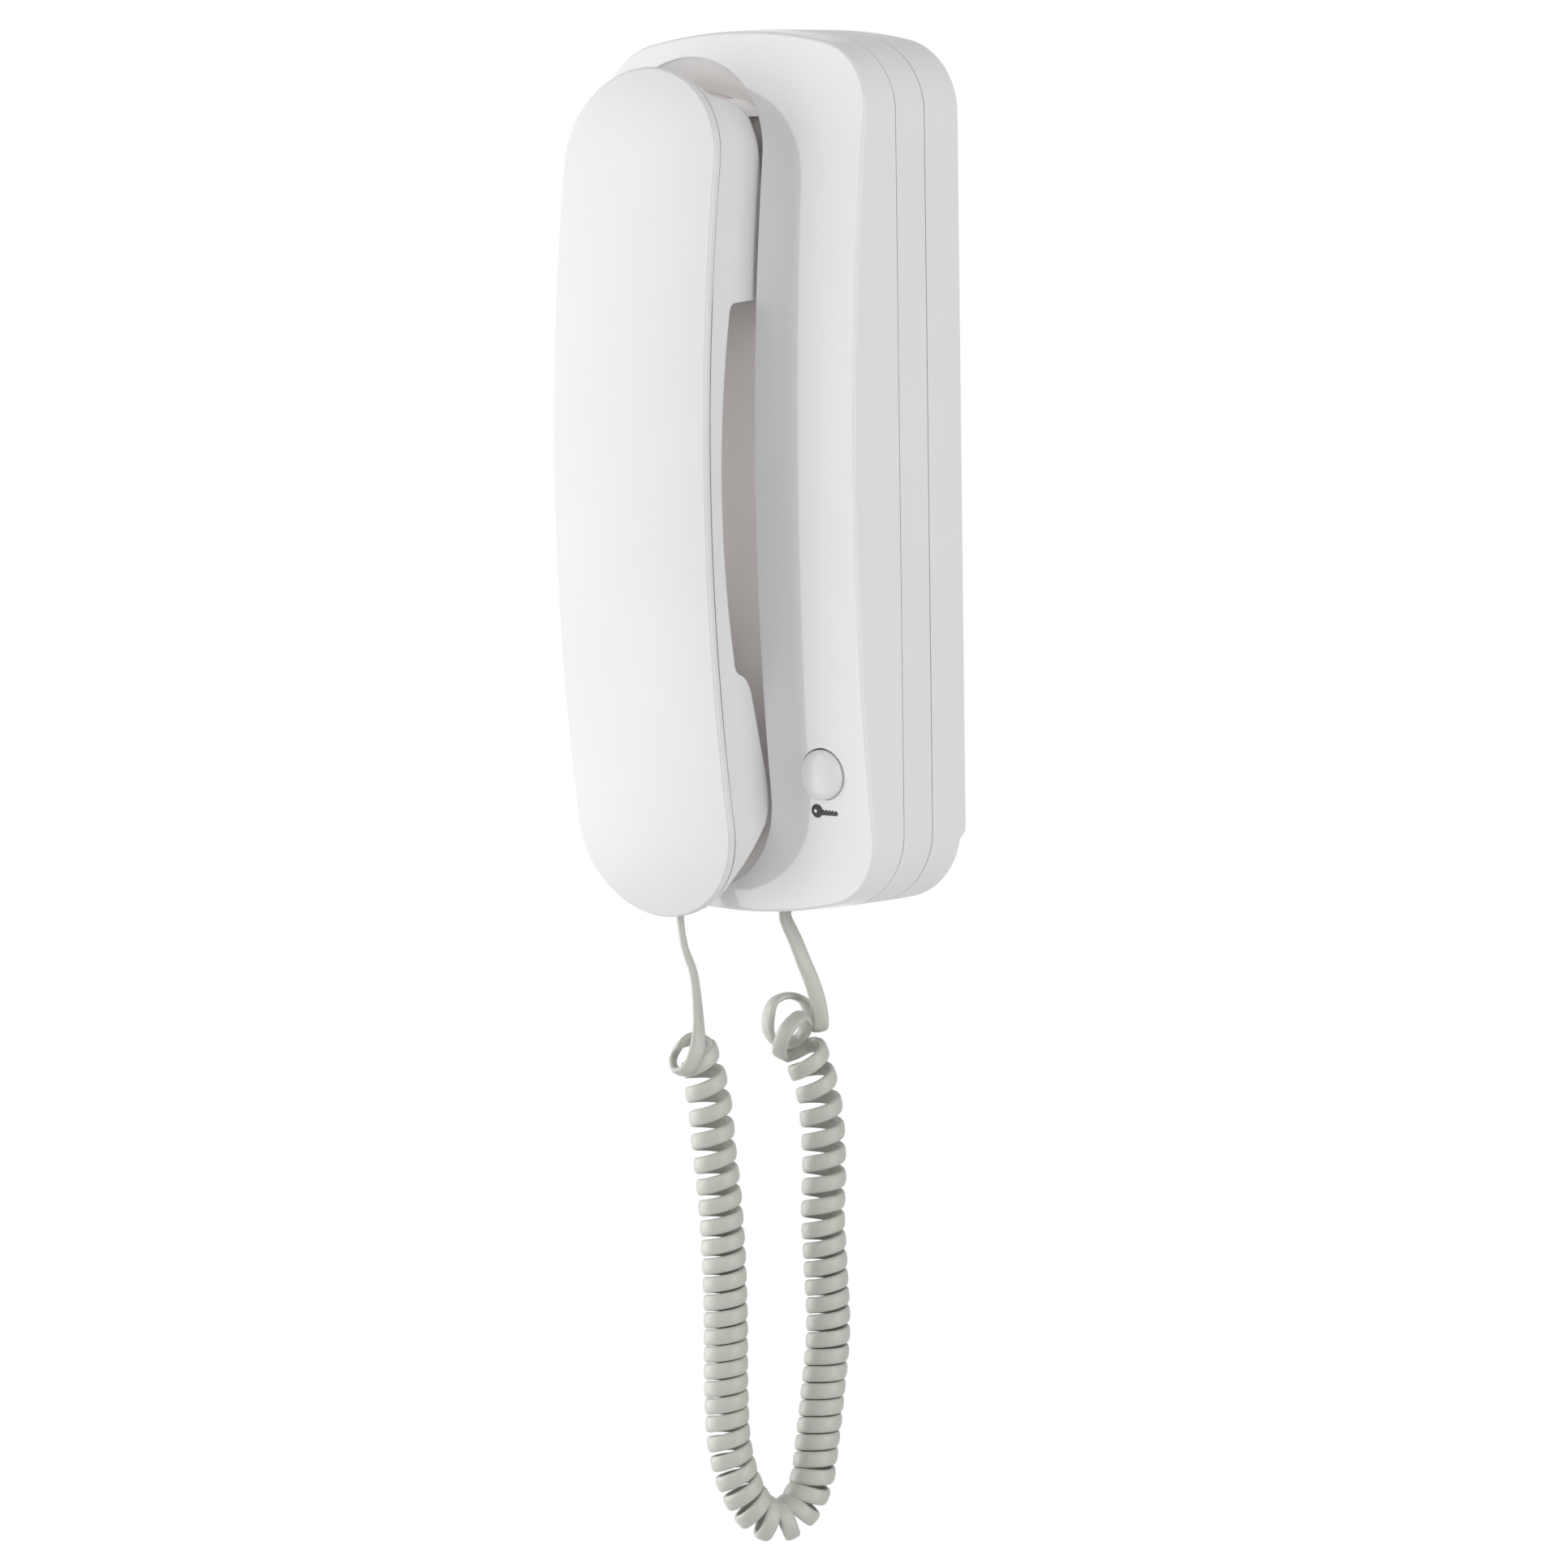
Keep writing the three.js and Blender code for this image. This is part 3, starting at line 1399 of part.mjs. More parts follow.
const handsetLead = leadRoute(
  handsetPort,
  coil[0],
  coil[1],
  [
    [0, -7.1, 0],
    [-0.4, 1.3, 0.2],
    [0, 7.4, 1.3],
    [1.8, 14.2, 2.6],
    [2.2, 22, 3.8],
    [2.2, 26.8, 4.3],
    [1.9, 30.1, 4.7],
    [0.8, 33.7, 5.1],
    [-0.9, 36.9, 4],
    [-2.1, 37.6, 1.4],
    [-2.3, 35.9, -1.2],
    [-0.5, 33.4, -3.5],
    [2, 31.6, -5.4],
    [5.4, 31, -6.1],
  ],
  [
    [0, 0],
    [20, 37],
    [36, 20],
    [44, 6],
    [50, -35],
  ],
  40,
);
const baseLead = leadRoute(
  basePort,
  coil.at(-1),
  coil.at(-2),
  [
    [29.2, 7.8, 0.5],
    [31.3, 13.5, 1],
    [32.9, 18, 1.7],
    [34.2, 23, 2.3],
    [34.8, 26.9, 2.3],
    [35.1, 28.9, 1.5],
    [35.6, 29.7, -0.5],
    [35.9, 29.2, -2.5],
    [35.9, 27.8, -3.9],
    [35.3, 25.9, -4.8],
    [33.2, 23.1, -4.8],
    [29.2, 21.7, -4.4],
    [25.2, 22.9, -3.8],
    [23.6, 26.1, -3.4],
    [23.6, 29.8, -3.6],
    [25.7, 33, -4.3],
    [28.9, 33.5, -4.6],
    [31.4, 32.3, -3.6],
    [32.5, 29.5, -1.6],
    [31.9, 27.1, 0.8],
    [29.1, 26, 3],
    [25.5, 28.7, 3.6],
    [24.4, 32.5, 1.9],
    [25.3, 35.4, -0.7],
    [27.8, 36, -3.7],
    [31.4, 35.6, -5.9],
    [34.6, 34.3, -5.5],
  ],
  [
    [0, 0],
    [18, -30],
    [28.5, -53],
  ],
  72,
);

// ---------------------------------------------------------------- assembly
addPiece('rear_housing', rearHousing(), looks.satinWhite);
addPiece('mid_frame', midFrame(), looks.satinWhite);
addPiece('front_cover', frontCover(), looks.glossWhite);
addPiece('hook_lever', hookLever(), looks.satinWhite);
addPiece('hook_pin', hookPin(), looks.steel);
addPiece('door_button', doorButton(), looks.satinWhite);
addPiece('door_switch', doorSwitch(), looks.darkPlastic);
addPiece('main_board', mainBoard(), looks.boardGreen);
addPiece('terminal_block', terminalBlock(), looks.greenPlastic);
for (let way = 0; way < terminal.ways; way += 1) {
  addPiece(`terminal_screw_${way + 1}`, terminalScrew(way), looks.steel);
}
addPiece('call_sounder', callSounder(), looks.darkPlastic);
for (let i = 0; i < capacitor.count; i += 1) {
  addPiece(`capacitor_${i + 1}`, capacitorSolid(i), looks.darkPlastic);
}
addPiece('hook_switch', hookSwitch(), looks.darkPlastic);
addPiece('base_jack', jackSolid(basePort), looks.darkPlastic);

let screwNumber = 0;
for (const side of [-1, 1]) {
  for (const end of [-1, 1]) {
    screwNumber += 1;
    const tabFront = rearSeam + seamGap / 2 + tower.tab + restGap;
    const frameScrew = screwSolid(side * tower.x, end * tower.z, tabFront, rearSeam - 7);
    addPiece(`frame_screw_${screwNumber}`, frameScrew, looks.steel);
    const boardScrew = screwSolid(
      side * boardSeat.x,
      end * boardSeat.z,
      boardFront + restGap,
      board.rear - 6,
    );
    addPiece(`board_screw_${screwNumber}`, boardScrew, looks.steel);
  }
}

addPiece('handset_rear_shell', rearShellWithScrewHoles(), looks.handsetWhite);
addPiece('handset_front_shell', frontShell(), looks.handsetWhite);
addPiece('earpiece_capsule', earCapsule(), looks.darkPlastic);
addPiece('microphone', microphone(), looks.steel);
addPiece('microphone_boot', micBoot(), looks.rubber);
addPiece('handset_jack', jackSolid(handsetPort), looks.darkPlastic);
[shellScrew.high, shellScrew.low].forEach((z, i) => {
  const head = screwHeadDepth(z) - restGap;
  addPiece(`handset_screw_${i + 1}`, screwSolid(troughShift, z, head, head + 6.4, -1), looks.steel);
});

function rearShellWithScrewHoles() {
  let shell = rearShell();
  for (const z of [shellScrew.high, shellScrew.low]) {
    const seat = screwHeadDepth(z);
    shell = shell
      .subtract(peg(troughShift, z, screw.headRadius + restGap, 40, seat, 16))
      .subtract(peg(troughShift, z, screw.pilot, seat - 1, seat + 6, 12))
      .subtract(peg(troughShift, z, shellScrew.postRadius + restGap, seat + shellScrew.seat, 70, 20));
  }
  return shell;
}

addPiece('handset_plug', plugSolid(handsetPort), looks.clearPlastic);
addPiece('base_plug', plugSolid(basePort), looks.clearPlastic);
addPiece('curly_cord', coilTube.geometry, looks.cordGrey);
addPiece('handset_lead', ribbon(handsetLead, 8, cord.width, cord.thickness).geometry, looks.cordGrey);
addPiece('base_lead', ribbon(baseLead, 8, cord.width, cord.thickness).geometry, looks.cordGrey);

export default group;
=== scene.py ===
"""Wall-hung door-entry handset with a curly cord: looks, light and camera, in metres.

The wall is the plane y = 0 and the phone faces -Y. Shapes are worked out in millimetres,
with a "depth" d = -y out from the wall, and are scaled to metres as they become meshes.
"""

import bmesh
import bpy
import numpy as np
from mathutils import Matrix


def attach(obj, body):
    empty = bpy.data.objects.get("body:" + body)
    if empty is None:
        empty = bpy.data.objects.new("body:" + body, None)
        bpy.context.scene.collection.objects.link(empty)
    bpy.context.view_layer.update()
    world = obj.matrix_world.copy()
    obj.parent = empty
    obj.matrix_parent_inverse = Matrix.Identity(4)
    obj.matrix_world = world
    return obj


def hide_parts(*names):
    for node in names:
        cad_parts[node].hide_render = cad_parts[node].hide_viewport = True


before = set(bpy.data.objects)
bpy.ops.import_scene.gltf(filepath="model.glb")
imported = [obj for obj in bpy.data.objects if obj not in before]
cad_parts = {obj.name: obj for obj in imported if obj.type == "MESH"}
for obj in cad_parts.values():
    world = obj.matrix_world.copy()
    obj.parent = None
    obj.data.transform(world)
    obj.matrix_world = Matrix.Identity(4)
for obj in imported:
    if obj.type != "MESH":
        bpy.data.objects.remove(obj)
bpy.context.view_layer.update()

MM = 0.001
PI = np.pi
# Sizes that several pieces share: the housing's outline and seams, the arch of its face, and
# the handset's trough.
HALF_WIDTH, HALF_HEIGHT, CORNER_RADIUS, END_RADIUS = 40.0, 105.1, 18.0, 122.0
SEAM, REAR_SEAM, FRONT_SEAM = 0.3, 13.4, 24.9
FACE_RISE, FACE_ARCH = 8.3, 8.9
TROUGH_X, TROUGH_HALF, TROUGH_LOW, TROUGH_HIGH = -13.4, 23.4, -99.6, 98.6
# Depths where cutters start and end when they go right through a piece.
BEHIND, AHEAD = 15.0, 70.0


# ---- camera
def placed(name, data):
    """A new object in the scene."""
    thing = bpy.data.objects.new(name, data)
    bpy.context.scene.collection.objects.link(thing)
    return thing


def place_camera():
    """The photograph's camera, 1.76 m away, with no shift. Its lens is 167.7 mm, from a
    focal length of 9000 of the photograph's pixels."""
    focal_pixels, picture_pixels, sensor = 9000.0, 1932.0, 36.0
    right = (0.79757014, 0.60307774, -0.01338355)
    up = (-0.0397378, 0.07466578, 0.99641654)
    back = (0.60191593, -0.79418025, 0.08351618)
    data = bpy.data.cameras.new("photo_camera")
    data.sensor_width = sensor
    data.sensor_fit = "HORIZONTAL"
    data.lens = focal_pixels / picture_pixels * sensor
    data.clip_start = 0.05
    data.clip_end = 50.0
    camera = placed("photo_camera", data)
    turn = Matrix((right, up, back)).transposed().to_4x4()
    turn.translation = (1.05566, -1.41176, 0.07133)
    camera.matrix_world = turn
    bpy.context.scene.camera = camera


place_camera()


# ---- small maths
def unit(v):
    """Vectors scaled to length one."""
    return v / np.linalg.norm(v, axis=-1, keepdims=True)


def smooth(t):
    """The soft step 3t^2 - 2t^3, held at 0 and 1 outside its range."""
    t = np.clip(t, 0, 1)
    return t * t * (3 - 2 * t)


def mix(a, b, t):
    """The value from a to b at the share t."""
    return a + (b - a) * t


def linear(r, g, b):
    """A colour given in 0-255 display values, as linear light."""
    c = np.array([r, g, b]) / 255.0
    return np.where(c <= 0.04045, c / 12.92, ((c + 0.055) / 1.055) ** 2.4)


# ---- the curly cord's route
CORD_WIDTH, CORD_THICKNESS = 3.9, 1.75
COIL_RADIUS, FIRST_RADIUS, LAST_RADIUS, END_TURNS = 4.5, 3.9, 4.75, 1.2
PITCH, OPEN_PITCH, OPEN_REACH, BEND_OPENING, RUN_OUT = 4.12, 5.9, 75.0, 0.12, 1.4
REST_GAP = 0.3
FOOT = -105.1
HANDSET_PORT = (-13.4, 42.4, -88.0)
BASE_PORT = (0.0, 19.1, -105.6)
PLANE_START = np.array(HANDSET_PORT[:2])
PLANE_UNIT = unit(np.array(BASE_PORT[:2]) - PLANE_START)

# The coil's line as (h, drop): h along the upright plane through both ports, and the drop
# below the phone's foot.
COIL_LINE = [
    (3.9, 33.5), (4.6, 36), (5.2, 39.2), (6, 43), (6.7, 47.2), (7.5, 56.9), (8.6, 66.9),
    (9.5, 80.9), (9.9, 96.9), (9.8, 116.9), (10.4, 128.9), (13, 138.9), (17.6, 146.3),
    (23, 148.7), (28, 146.3), (31.6, 140.1), (33.6, 128.9), (35.2, 116.9), (36.7, 102.9),
    (36.2, 86.9), (35.7, 74.9), (36.2, 62.9), (35.7, 50.9), (34.5, 43.3), (33, 38.9),
    (31.7, 35.6),
]
# The free ends, from plug to coil, as (h, drop, out of the plane).
HANDSET_END = [
    (0, -7.1, 0), (-0.4, 1.3, 0.2), (0, 7.4, 1.3), (1.8, 14.2, 2.6), (2.2, 22, 3.8),
    (2.2, 26.8, 4.3), (1.9, 30.1, 4.7), (0.8, 33.7, 5.1), (-0.9, 36.9, 4), (-2.1, 37.6, 1.4),
    (-2.3, 35.9, -1.2), (-0.5, 33.4, -3.5), (2, 31.6, -5.4), (5.4, 31, -6.1),
]
BASE_END = [
    (29.2, 7.8, 0.5), (31.3, 13.5, 1), (32.9, 18, 1.7), (34.2, 23, 2.3), (34.8, 26.9, 2.3),
    (35.1, 28.9, 1.5), (35.6, 29.7, -0.5), (35.9, 29.2, -2.5), (35.9, 27.8, -3.9),
    (35.3, 25.9, -4.8), (33.2, 23.1, -4.8), (29.2, 21.7, -4.4), (25.2, 22.9, -3.8),
    (23.6, 26.1, -3.4), (23.6, 29.8, -3.6), (25.7, 33, -4.3), (28.9, 33.5, -4.6),
    (31.4, 32.3, -3.6), (32.5, 29.5, -1.6), (31.9, 27.1, 0.8), (29.1, 26, 3), (25.5, 28.7, 3.6),
    (24.4, 32.5, 1.9), (25.3, 35.4, -0.7), (27.8, 36, -3.7), (31.4, 35.6, -5.9),
    (34.6, 34.3, -5.5),
]
# Lengths from the plug, with the angle about Z that the cord's flat side faces there.
HANDSET_FACING = [(0, 0), (20, 37), (36, 20), (44, 6), (50, -35)]
BASE_FACING = [(0, 0), (18, -30), (28.5, -53)]


def in_plane(rows):
    """Points of the cord's plane, out by the third number, in millimetres."""
    rows = np.array([(*r, 0.0) if len(r) == 2 else r for r in rows], float)
    h, drop, out = rows.T
    x = PLANE_START[0] + PLANE_UNIT[0] * h - PLANE_UNIT[1] * out
    depth = PLANE_START[1] + PLANE_UNIT[1] * h + PLANE_UNIT[0] * out
    return np.stack([x, -depth, FOOT - drop], 1)


def curve_through(points, per=40):
    """A centripetal Catmull-Rom curve: each span is the cubic between two points whose end
    slopes come from their neighbours, weighted by the square root of the distances."""
    p = np.vstack([2 * points[0] - points[1], points, 2 * points[-1] - points[-2]])
    gap = np.sqrt(np.linalg.norm(np.diff(p, axis=0), axis=1))[:, None]
    a, b, c = gap[:-2], gap[1:-1], gap[2:]
    x0, x1, x2, x3 = p[:-3], p[1:-2], p[2:-1], p[3:]
    s1 = ((x1 - x0) / a - (x2 - x0) / (a + b) + (x2 - x1) / b) * b
    s2 = ((x2 - x1) / b - (x3 - x1) / (b + c) + (x3 - x2) / c) * b
    t = np.linspace(0, 1, per, endpoint=False)[None, :, None]
    x1, x2, s1, s2 = (v[:, None] for v in (x1, x2, s1, s2))
    spans = x1 + s1 * t + (3 * (x2 - x1) - 2 * s1 - s2) * t**2 + (2 * (x1 - x2) + s1 + s2) * t**3
    return np.vstack([spans.reshape(-1, 3), points[-1:]])


def evenly(line, count):
    """The same line with count equal steps, and its length."""
    s = np.r_[0, np.cumsum(np.linalg.norm(np.diff(line, axis=0), axis=1))]
    u = np.linspace(0, s[-1], count + 1)
    return np.stack([np.interp(u, s, line[:, k]) for k in range(3)], 1), s[-1]


def coil_route(steps):
    """A helix round the coil's line: each point stands off the line by the radius, in a
    direction that turns once per pitch, counted from a side direction that is carried along
    without twisting. The pitch opens towards both tops, and a little where the line bends."""
    step, near, window = 0.25, 2, 8
    rough = curve_through(in_plane(COIL_LINE))
    count = int(round(evenly(rough, 10)[1] / step))
    points, _ = evenly(rough, count)
    i = np.arange(count + 1)

    def direction(k, reach):
        return unit(points[np.minimum(count, k + reach)] - points[np.maximum(0, k - reach)])

    along = direction(i, near)
    side = np.zeros_like(points)
    carried = np.array([-PLANE_UNIT[1], -PLANE_UNIT[0], 0.0])
    for k in range(count + 1):
        carried = unit(carried - along[k] * (carried @ along[k]))
        side[k] = carried
    low, high = np.maximum(0, i - window), np.minimum(count, i + window)
    cosine = np.clip((direction(low, near) * direction(high, near)).sum(1), -1, 1)
    bend = np.arccos(cosine) / ((high - low) * step)
    distance = i * step
    from_end = np.minimum(distance, distance[-1] - distance)
    pitch = mix(OPEN_PITCH, PITCH, smooth(from_end / OPEN_REACH))
    pitch = pitch / (1 - np.minimum(BEND_OPENING, (COIL_RADIUS + CORD_THICKNESS / 2) * bend))
    turned = np.r_[0, np.cumsum(step / pitch)[:-1]]
    total = round(turned[-1] - 0.5) + 0.5
    turn = np.arange(int(round(total * steps)) + 1) / steps
    target = turn / total * turned[-1]
    k = np.clip(np.searchsorted(turned, target) - 1, 0, count - 1)
    part = ((target - turned[k]) / (turned[k + 1] - turned[k]))[:, None]
    centre = mix(points[k], points[k + 1], part)
    angle = ((turn - 0.25) * 2 * PI)[:, None]
    outward = side[k] * np.cos(angle) + np.cross(along[k], side[k]) * np.sin(angle)
    first = 1 - smooth(turn / END_TURNS)
    last = 1 - smooth((total - turn) / END_TURNS)
    radius = mix(mix(COIL_RADIUS, FIRST_RADIUS, first), LAST_RADIUS, last)
    line = centre + outward * radius[:, None]
    away = np.array([PLANE_UNIT[1], PLANE_UNIT[0], 0.0]) * RUN_OUT
    line = np.vstack([line[0] + away, line, line[-1] + away])
    return line, np.vstack([outward[:1], outward, outward[-1:]])


def end_route(port, end, neighbour, end_facing, middle, facings, steps):
    """A free end of the cord: straight down from its plug, through the middle points, to the
    coil. Its flat side follows the facings, then looks away from the inside of the curve,
    and settles to the coil's own facing."""
    curl_reach, spread_reach, guide_fade, settling = 1.6, 1.4, 3.0, 4.0
    top = np.array([port[0], -port[1], port[2] - REST_GAP])
    away = unit(end - neighbour)
    run = np.vstack([
        top, top - [0, 0, RUN_OUT], in_plane(middle),
        end + away * (REST_GAP + RUN_OUT), end + away * REST_GAP,
    ])
    fine = 400
    line, length = evenly(curve_through(run), fine)
    spacing = length / fine
    i = np.arange(fine + 1)
    along = unit(line[np.minimum(fine, i + 1)] - line[np.maximum(0, i - 1)])
    reach = int(round(curl_reach / spacing))
    m = np.clip(i, reach, fine - reach)
    curl = (2 * line[m] - line[m - reach] - line[m + reach]) * 6 / (reach * spacing) ** 2
    places, angles = np.array(facings, float).T
    angle = np.radians(np.interp(i * spacing, places, angles))
    guide = np.stack([np.cos(angle), np.sin(angle), 0 * angle], 1)
    guided = (1 - smooth((i * spacing - places[-1]) / guide_fade))[:, None]
    wanted = mix(curl, guide, guided)
    spread = int(round(spread_reach / spacing))
    kernel = np.exp(-0.5 * (np.arange(-3 * spread, 3 * spread + 1) / spread) ** 2)
    pad = np.vstack([
        np.repeat(wanted[:1], 3 * spread, 0), wanted, np.repeat(end_facing[None], 3 * spread, 0),
    ])
    soft = np.stack([np.convolve(pad[:, k], kernel / kernel.sum(), "valid") for k in range(3)], 1)
    settled = smooth((i - fine) * spacing / settling + 1)[:, None]
    facing = mix(soft, end_facing, settled)
    facing = unit(facing - along * (facing * along).sum(1, keepdims=True))
    pick = np.round(np.linspace(0, fine, steps + 1)).astype(int)
    return line[pick], facing[pick]


def cord_route():
    """The whole cord from the handset's plug to the base's, with the way it faces."""
    turn_steps, handset_steps, base_steps = 28, 200, 260
    coil, facing = coil_route(turn_steps)
    first = end_route(
        HANDSET_PORT, coil[0], coil[1], facing[0], HANDSET_END, HANDSET_FACING, handset_steps,
    )
    last = end_route(
        BASE_PORT, coil[-1], coil[-2], facing[-1], BASE_END, BASE_FACING, base_steps,
    )
    line = np.vstack([first[0], coil, last[0][::-1]])
    return line, np.vstack([first[1], facing, last[1][::-1]])


# ---- meshes
def new_mesh(name, points, faces):
    """A mesh in metres from points in millimetres, with its faces outward."""
    mesh = bpy.data.meshes.new(name)
    mesh.from_pydata((np.asarray(points) * MM).tolist(), [], [tuple(map(int, f)) for f in faces])
    mesh.update()
    work = bmesh.new()
    work.from_mesh(mesh)
    bmesh.ops.remove_doubles(work, verts=work.verts, dist=2e-6)
    bmesh.ops.recalc_face_normals(work, faces=work.faces)
    if work.calc_volume(signed=True) < 0:
        bmesh.ops.reverse_faces(work, faces=work.faces)
    work.to_mesh(mesh)
    work.free()
    return mesh


def soften(mesh, angle=32.0):
    """Smooth shading with sharp edges where two faces meet at more than the angle."""
    work = bmesh.new()
    work.from_mesh(mesh)
    limit = np.radians(angle)
    for edge in work.edges:
        edge.smooth = len(edge.link_faces) == 2 and bool(edge.calc_face_angle(0.0) < limit)
    for face in work.faces:
        face.smooth = True
    work.to_mesh(mesh)
    work.free()


def piece(name, mesh, material, body, *nodes):
    """A finished piece: it rides on a body and stands for the CAD nodes named."""
    shown = placed(name, mesh)
    mesh.materials.clear()
    mesh.materials.append(material)
    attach(shown, body)
    if nodes:
        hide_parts(*nodes)
    return shown


def tube_faces(rings, around, closed_ends=True):
    """Quads between neighbouring rings of points, and a fan over each end."""
    r = np.arange(rings - 1)[:, None] * around
    k = np.arange(around)[None]
    nxt = (k + 1) % around
    quads = np.stack([r + k, r + nxt, r + nxt + around, r + k + around], -1).reshape(-1, 4)
    faces = quads.tolist()
    if closed_ends:
        faces.append(list(range(around))[::-1])
        faces.append([(rings - 1) * around + j for j in range(around)])
    return faces


def strap(line, facing, width, thickness):
    """A flat cord: at each station a rounded-rectangle ring (a superellipse), its width
    square to the facing."""
    around, power = 18, 2.6
    n = len(line)
    i = np.arange(n)
    along = unit(line[np.minimum(n - 1, i + 1)] - line[np.maximum(0, i - 1)])
    wide = unit(np.cross(along, facing))
    thick = unit(np.cross(wide, along))
    a = np.arange(around) / around * 2 * PI
    c, s = np.cos(a), np.sin(a)
    across = np.sign(c) * np.abs(c) ** (2 / power) * width / 2
    up = np.sign(s) * np.abs(s) ** (2 / power) * thickness / 2
    rings = line[:, None] + wide[:, None] * across[None, :, None] + thick[:, None] * up[None, :, None]
    return rings.reshape(-1, 3), tube_faces(n, around)


def arc(x, z, radius, start, stop, steps):
    """Points of an arc, without its first one."""
    a = start + (stop - start) * (np.arange(steps) + 1) / steps
    return np.stack([x + radius * np.cos(a), z + radius * np.sin(a)], 1)


def mirrored(right):
    """A half outline from bottom to top, closed by its mirror image."""
    return np.vstack([right, right[-2:0:-1] * [-1, 1]])


def body_outline(inset):
    """The phone from the front: straight sides, round corners, arched top and bottom."""
    side, corner, crown = 60, 18, 12
    half_w, half_h, radius = HALF_WIDTH - inset, HALF_HEIGHT - inset, CORNER_RADIUS - inset
    crown_z = half_h - END_RADIUS
    cx = half_w - radius
    cz = crown_z + np.sqrt((END_RADIUS - radius) ** 2 - cx**2)
    meet = np.arctan2(cz - crown_z, cx)
    z = np.linspace(-cz, cz, side + 1)[1:]
    return mirrored(np.vstack([
        [[0, -half_h]],
        arc(0, -crown_z, END_RADIUS, -PI / 2, -meet, crown),
        arc(cx, -cz, radius, -meet, 0, corner),
        np.stack([np.full(side, half_w), z], 1),
        arc(cx, cz, radius, 0, meet, corner),
        arc(0, crown_z, END_RADIUS, meet, PI / 2, crown),
    ]))


def stadium(half, bottom, top):
    """A slot with round ends."""
    side, end = 60, 24
    low, high = bottom + half, top - half
    z = np.linspace(low, high, side + 1)[1:]
    return mirrored(np.vstack([
        [[0, bottom]],
        arc(0, low, half, -PI / 2, 0, end),
        np.stack([np.full(side, half), z], 1),
        arc(0, high, half, 0, PI / 2, end),
    ]))


def ring(outline, depth, shift=0.0):
    """An outline given a depth, which may be a function of its height."""
    x, z = outline.T
    d = depth(z) if callable(depth) else np.full(len(x), float(depth))
    return np.stack([x + shift, -d, z], 1)


def skin(name, rings):
    """One closed skin through rings of points, with its end rings closed by strips between
    the points that face each other across the ring."""
    count = len(rings[0])
    faces = tube_faces(len(rings), count, closed_ends=False)
    half = count // 2
    i = np.arange(1, half - 1)
    strips = np.stack([i, count - i, count - i - 1, i + 1], 1)
    for start in (0, (len(rings) - 1) * count):
        faces.append([start, start + count - 1, start + 1])
        faces.extend((start + strips).tolist())
        faces.append([start + half - 1, start + half + 1, start + half])
    return new_mesh(name, np.vstack(rings), faces)


def prism(name, outline, a, b, axis):
    """A closed outline carried straight along an axis from a to b. Along "x" it takes
    (depth, z) points, along "y" (x, z) points with a and b as depths, and along "z"
    (x, depth) points."""
    outline = np.array(outline, float)
    u, v = outline.T
    ends = []
    for w in (a, b):
        w = np.full(len(outline), float(w))
        ends.append(np.stack({"x": (w, -u, v), "y": (u, -w, v), "z": (u, -v, w)}[axis], 1))
    return new_mesh(name, np.vstack(ends), tube_faces(2, len(outline)))


def block(x0, x1, depth0, depth1, z0, z1):
    """A box between two places on each axis."""
    return prism("block", rectangle(x0, x1, z0, z1), depth0, depth1, "y")


def peg(x, z, radius, depth0, depth1, sides=48):
    """A round bar straight out from the wall."""
    return prism("peg", circle(x, z, radius, sides), depth0, depth1, "y")


def circle(x, z, radius, sides=64):
    a = np.arange(sides) / sides * 2 * PI
    return np.stack([x + radius * np.cos(a), z + radius * np.sin(a)], 1)


def across(half):
    """The ends and the axis of a prism that lies across the middle of the trough."""
    return TROUGH_X - half, TROUGH_X + half, "x"


def rectangle(x0, x1, z0, z1):
    return [(x0, z0), (x1, z0), (x1, z1), (x0, z1)]


def carved(name, mesh, *steps):
    """The mesh after cuts and joins with other closed meshes, in order."""
    base, tools = placed(name, mesh), []
    for operation, tool_mesh in steps:
        tool = placed(name + "_tool", tool_mesh)
        tools.append(tool)
        modifier = base.modifiers.new("cut", "BOOLEAN")
        modifier.operation = operation
        modifier.solver = "MANIFOLD"
        modifier.object = tool
    bpy.context.view_layer.update()
    graph = bpy.context.evaluated_depsgraph_get()
    result = bpy.data.meshes.new_from_object(base.evaluated_get(graph))
    for spare in [base, *tools]:
        bpy.data.objects.remove(spare)
    return result


def from_cad(node):
    """A merged and softly shaded copy of a CAD node's mesh."""
    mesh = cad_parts[node].data.copy()
    flat = np.radians(0.6)
    work = bmesh.new()
    work.from_mesh(mesh)
    bmesh.ops.remove_doubles(work, verts=work.verts, dist=1e-6)
    bmesh.ops.dissolve_limit(work, angle_limit=flat, verts=work.verts, edges=work.edges)
    work.to_mesh(mesh)
    work.free()
    soften(mesh)
    return mesh


def finished(name, mesh, material, body, node):
    """A carved piece with smooth shading, whose large faces keep their own direction, so that
    flat gloss reflects as flat."""
    soften(mesh, 30)
    weigh = piece(name, mesh, material, body, node).modifiers.new("weigh", "WEIGHTED_NORMAL")
    weigh.mode = "FACE_AREA"
    weigh.weight = 80
    weigh.keep_sharp = True


# ---- materials
def new_material(name):
    """A new material, with its nodes, its links and its main shader."""
    material = bpy.data.materials.new(name)
    material.use_nodes = True
    nodes = material.node_tree.nodes
    nodes.clear()
    shader = nodes.new("ShaderNodeBsdfPrincipled")
    output = nodes.new("ShaderNodeOutputMaterial")
    material.node_tree.links.new(shader.outputs[0], output.inputs[0])
    return material, nodes, material.node_tree.links, shader


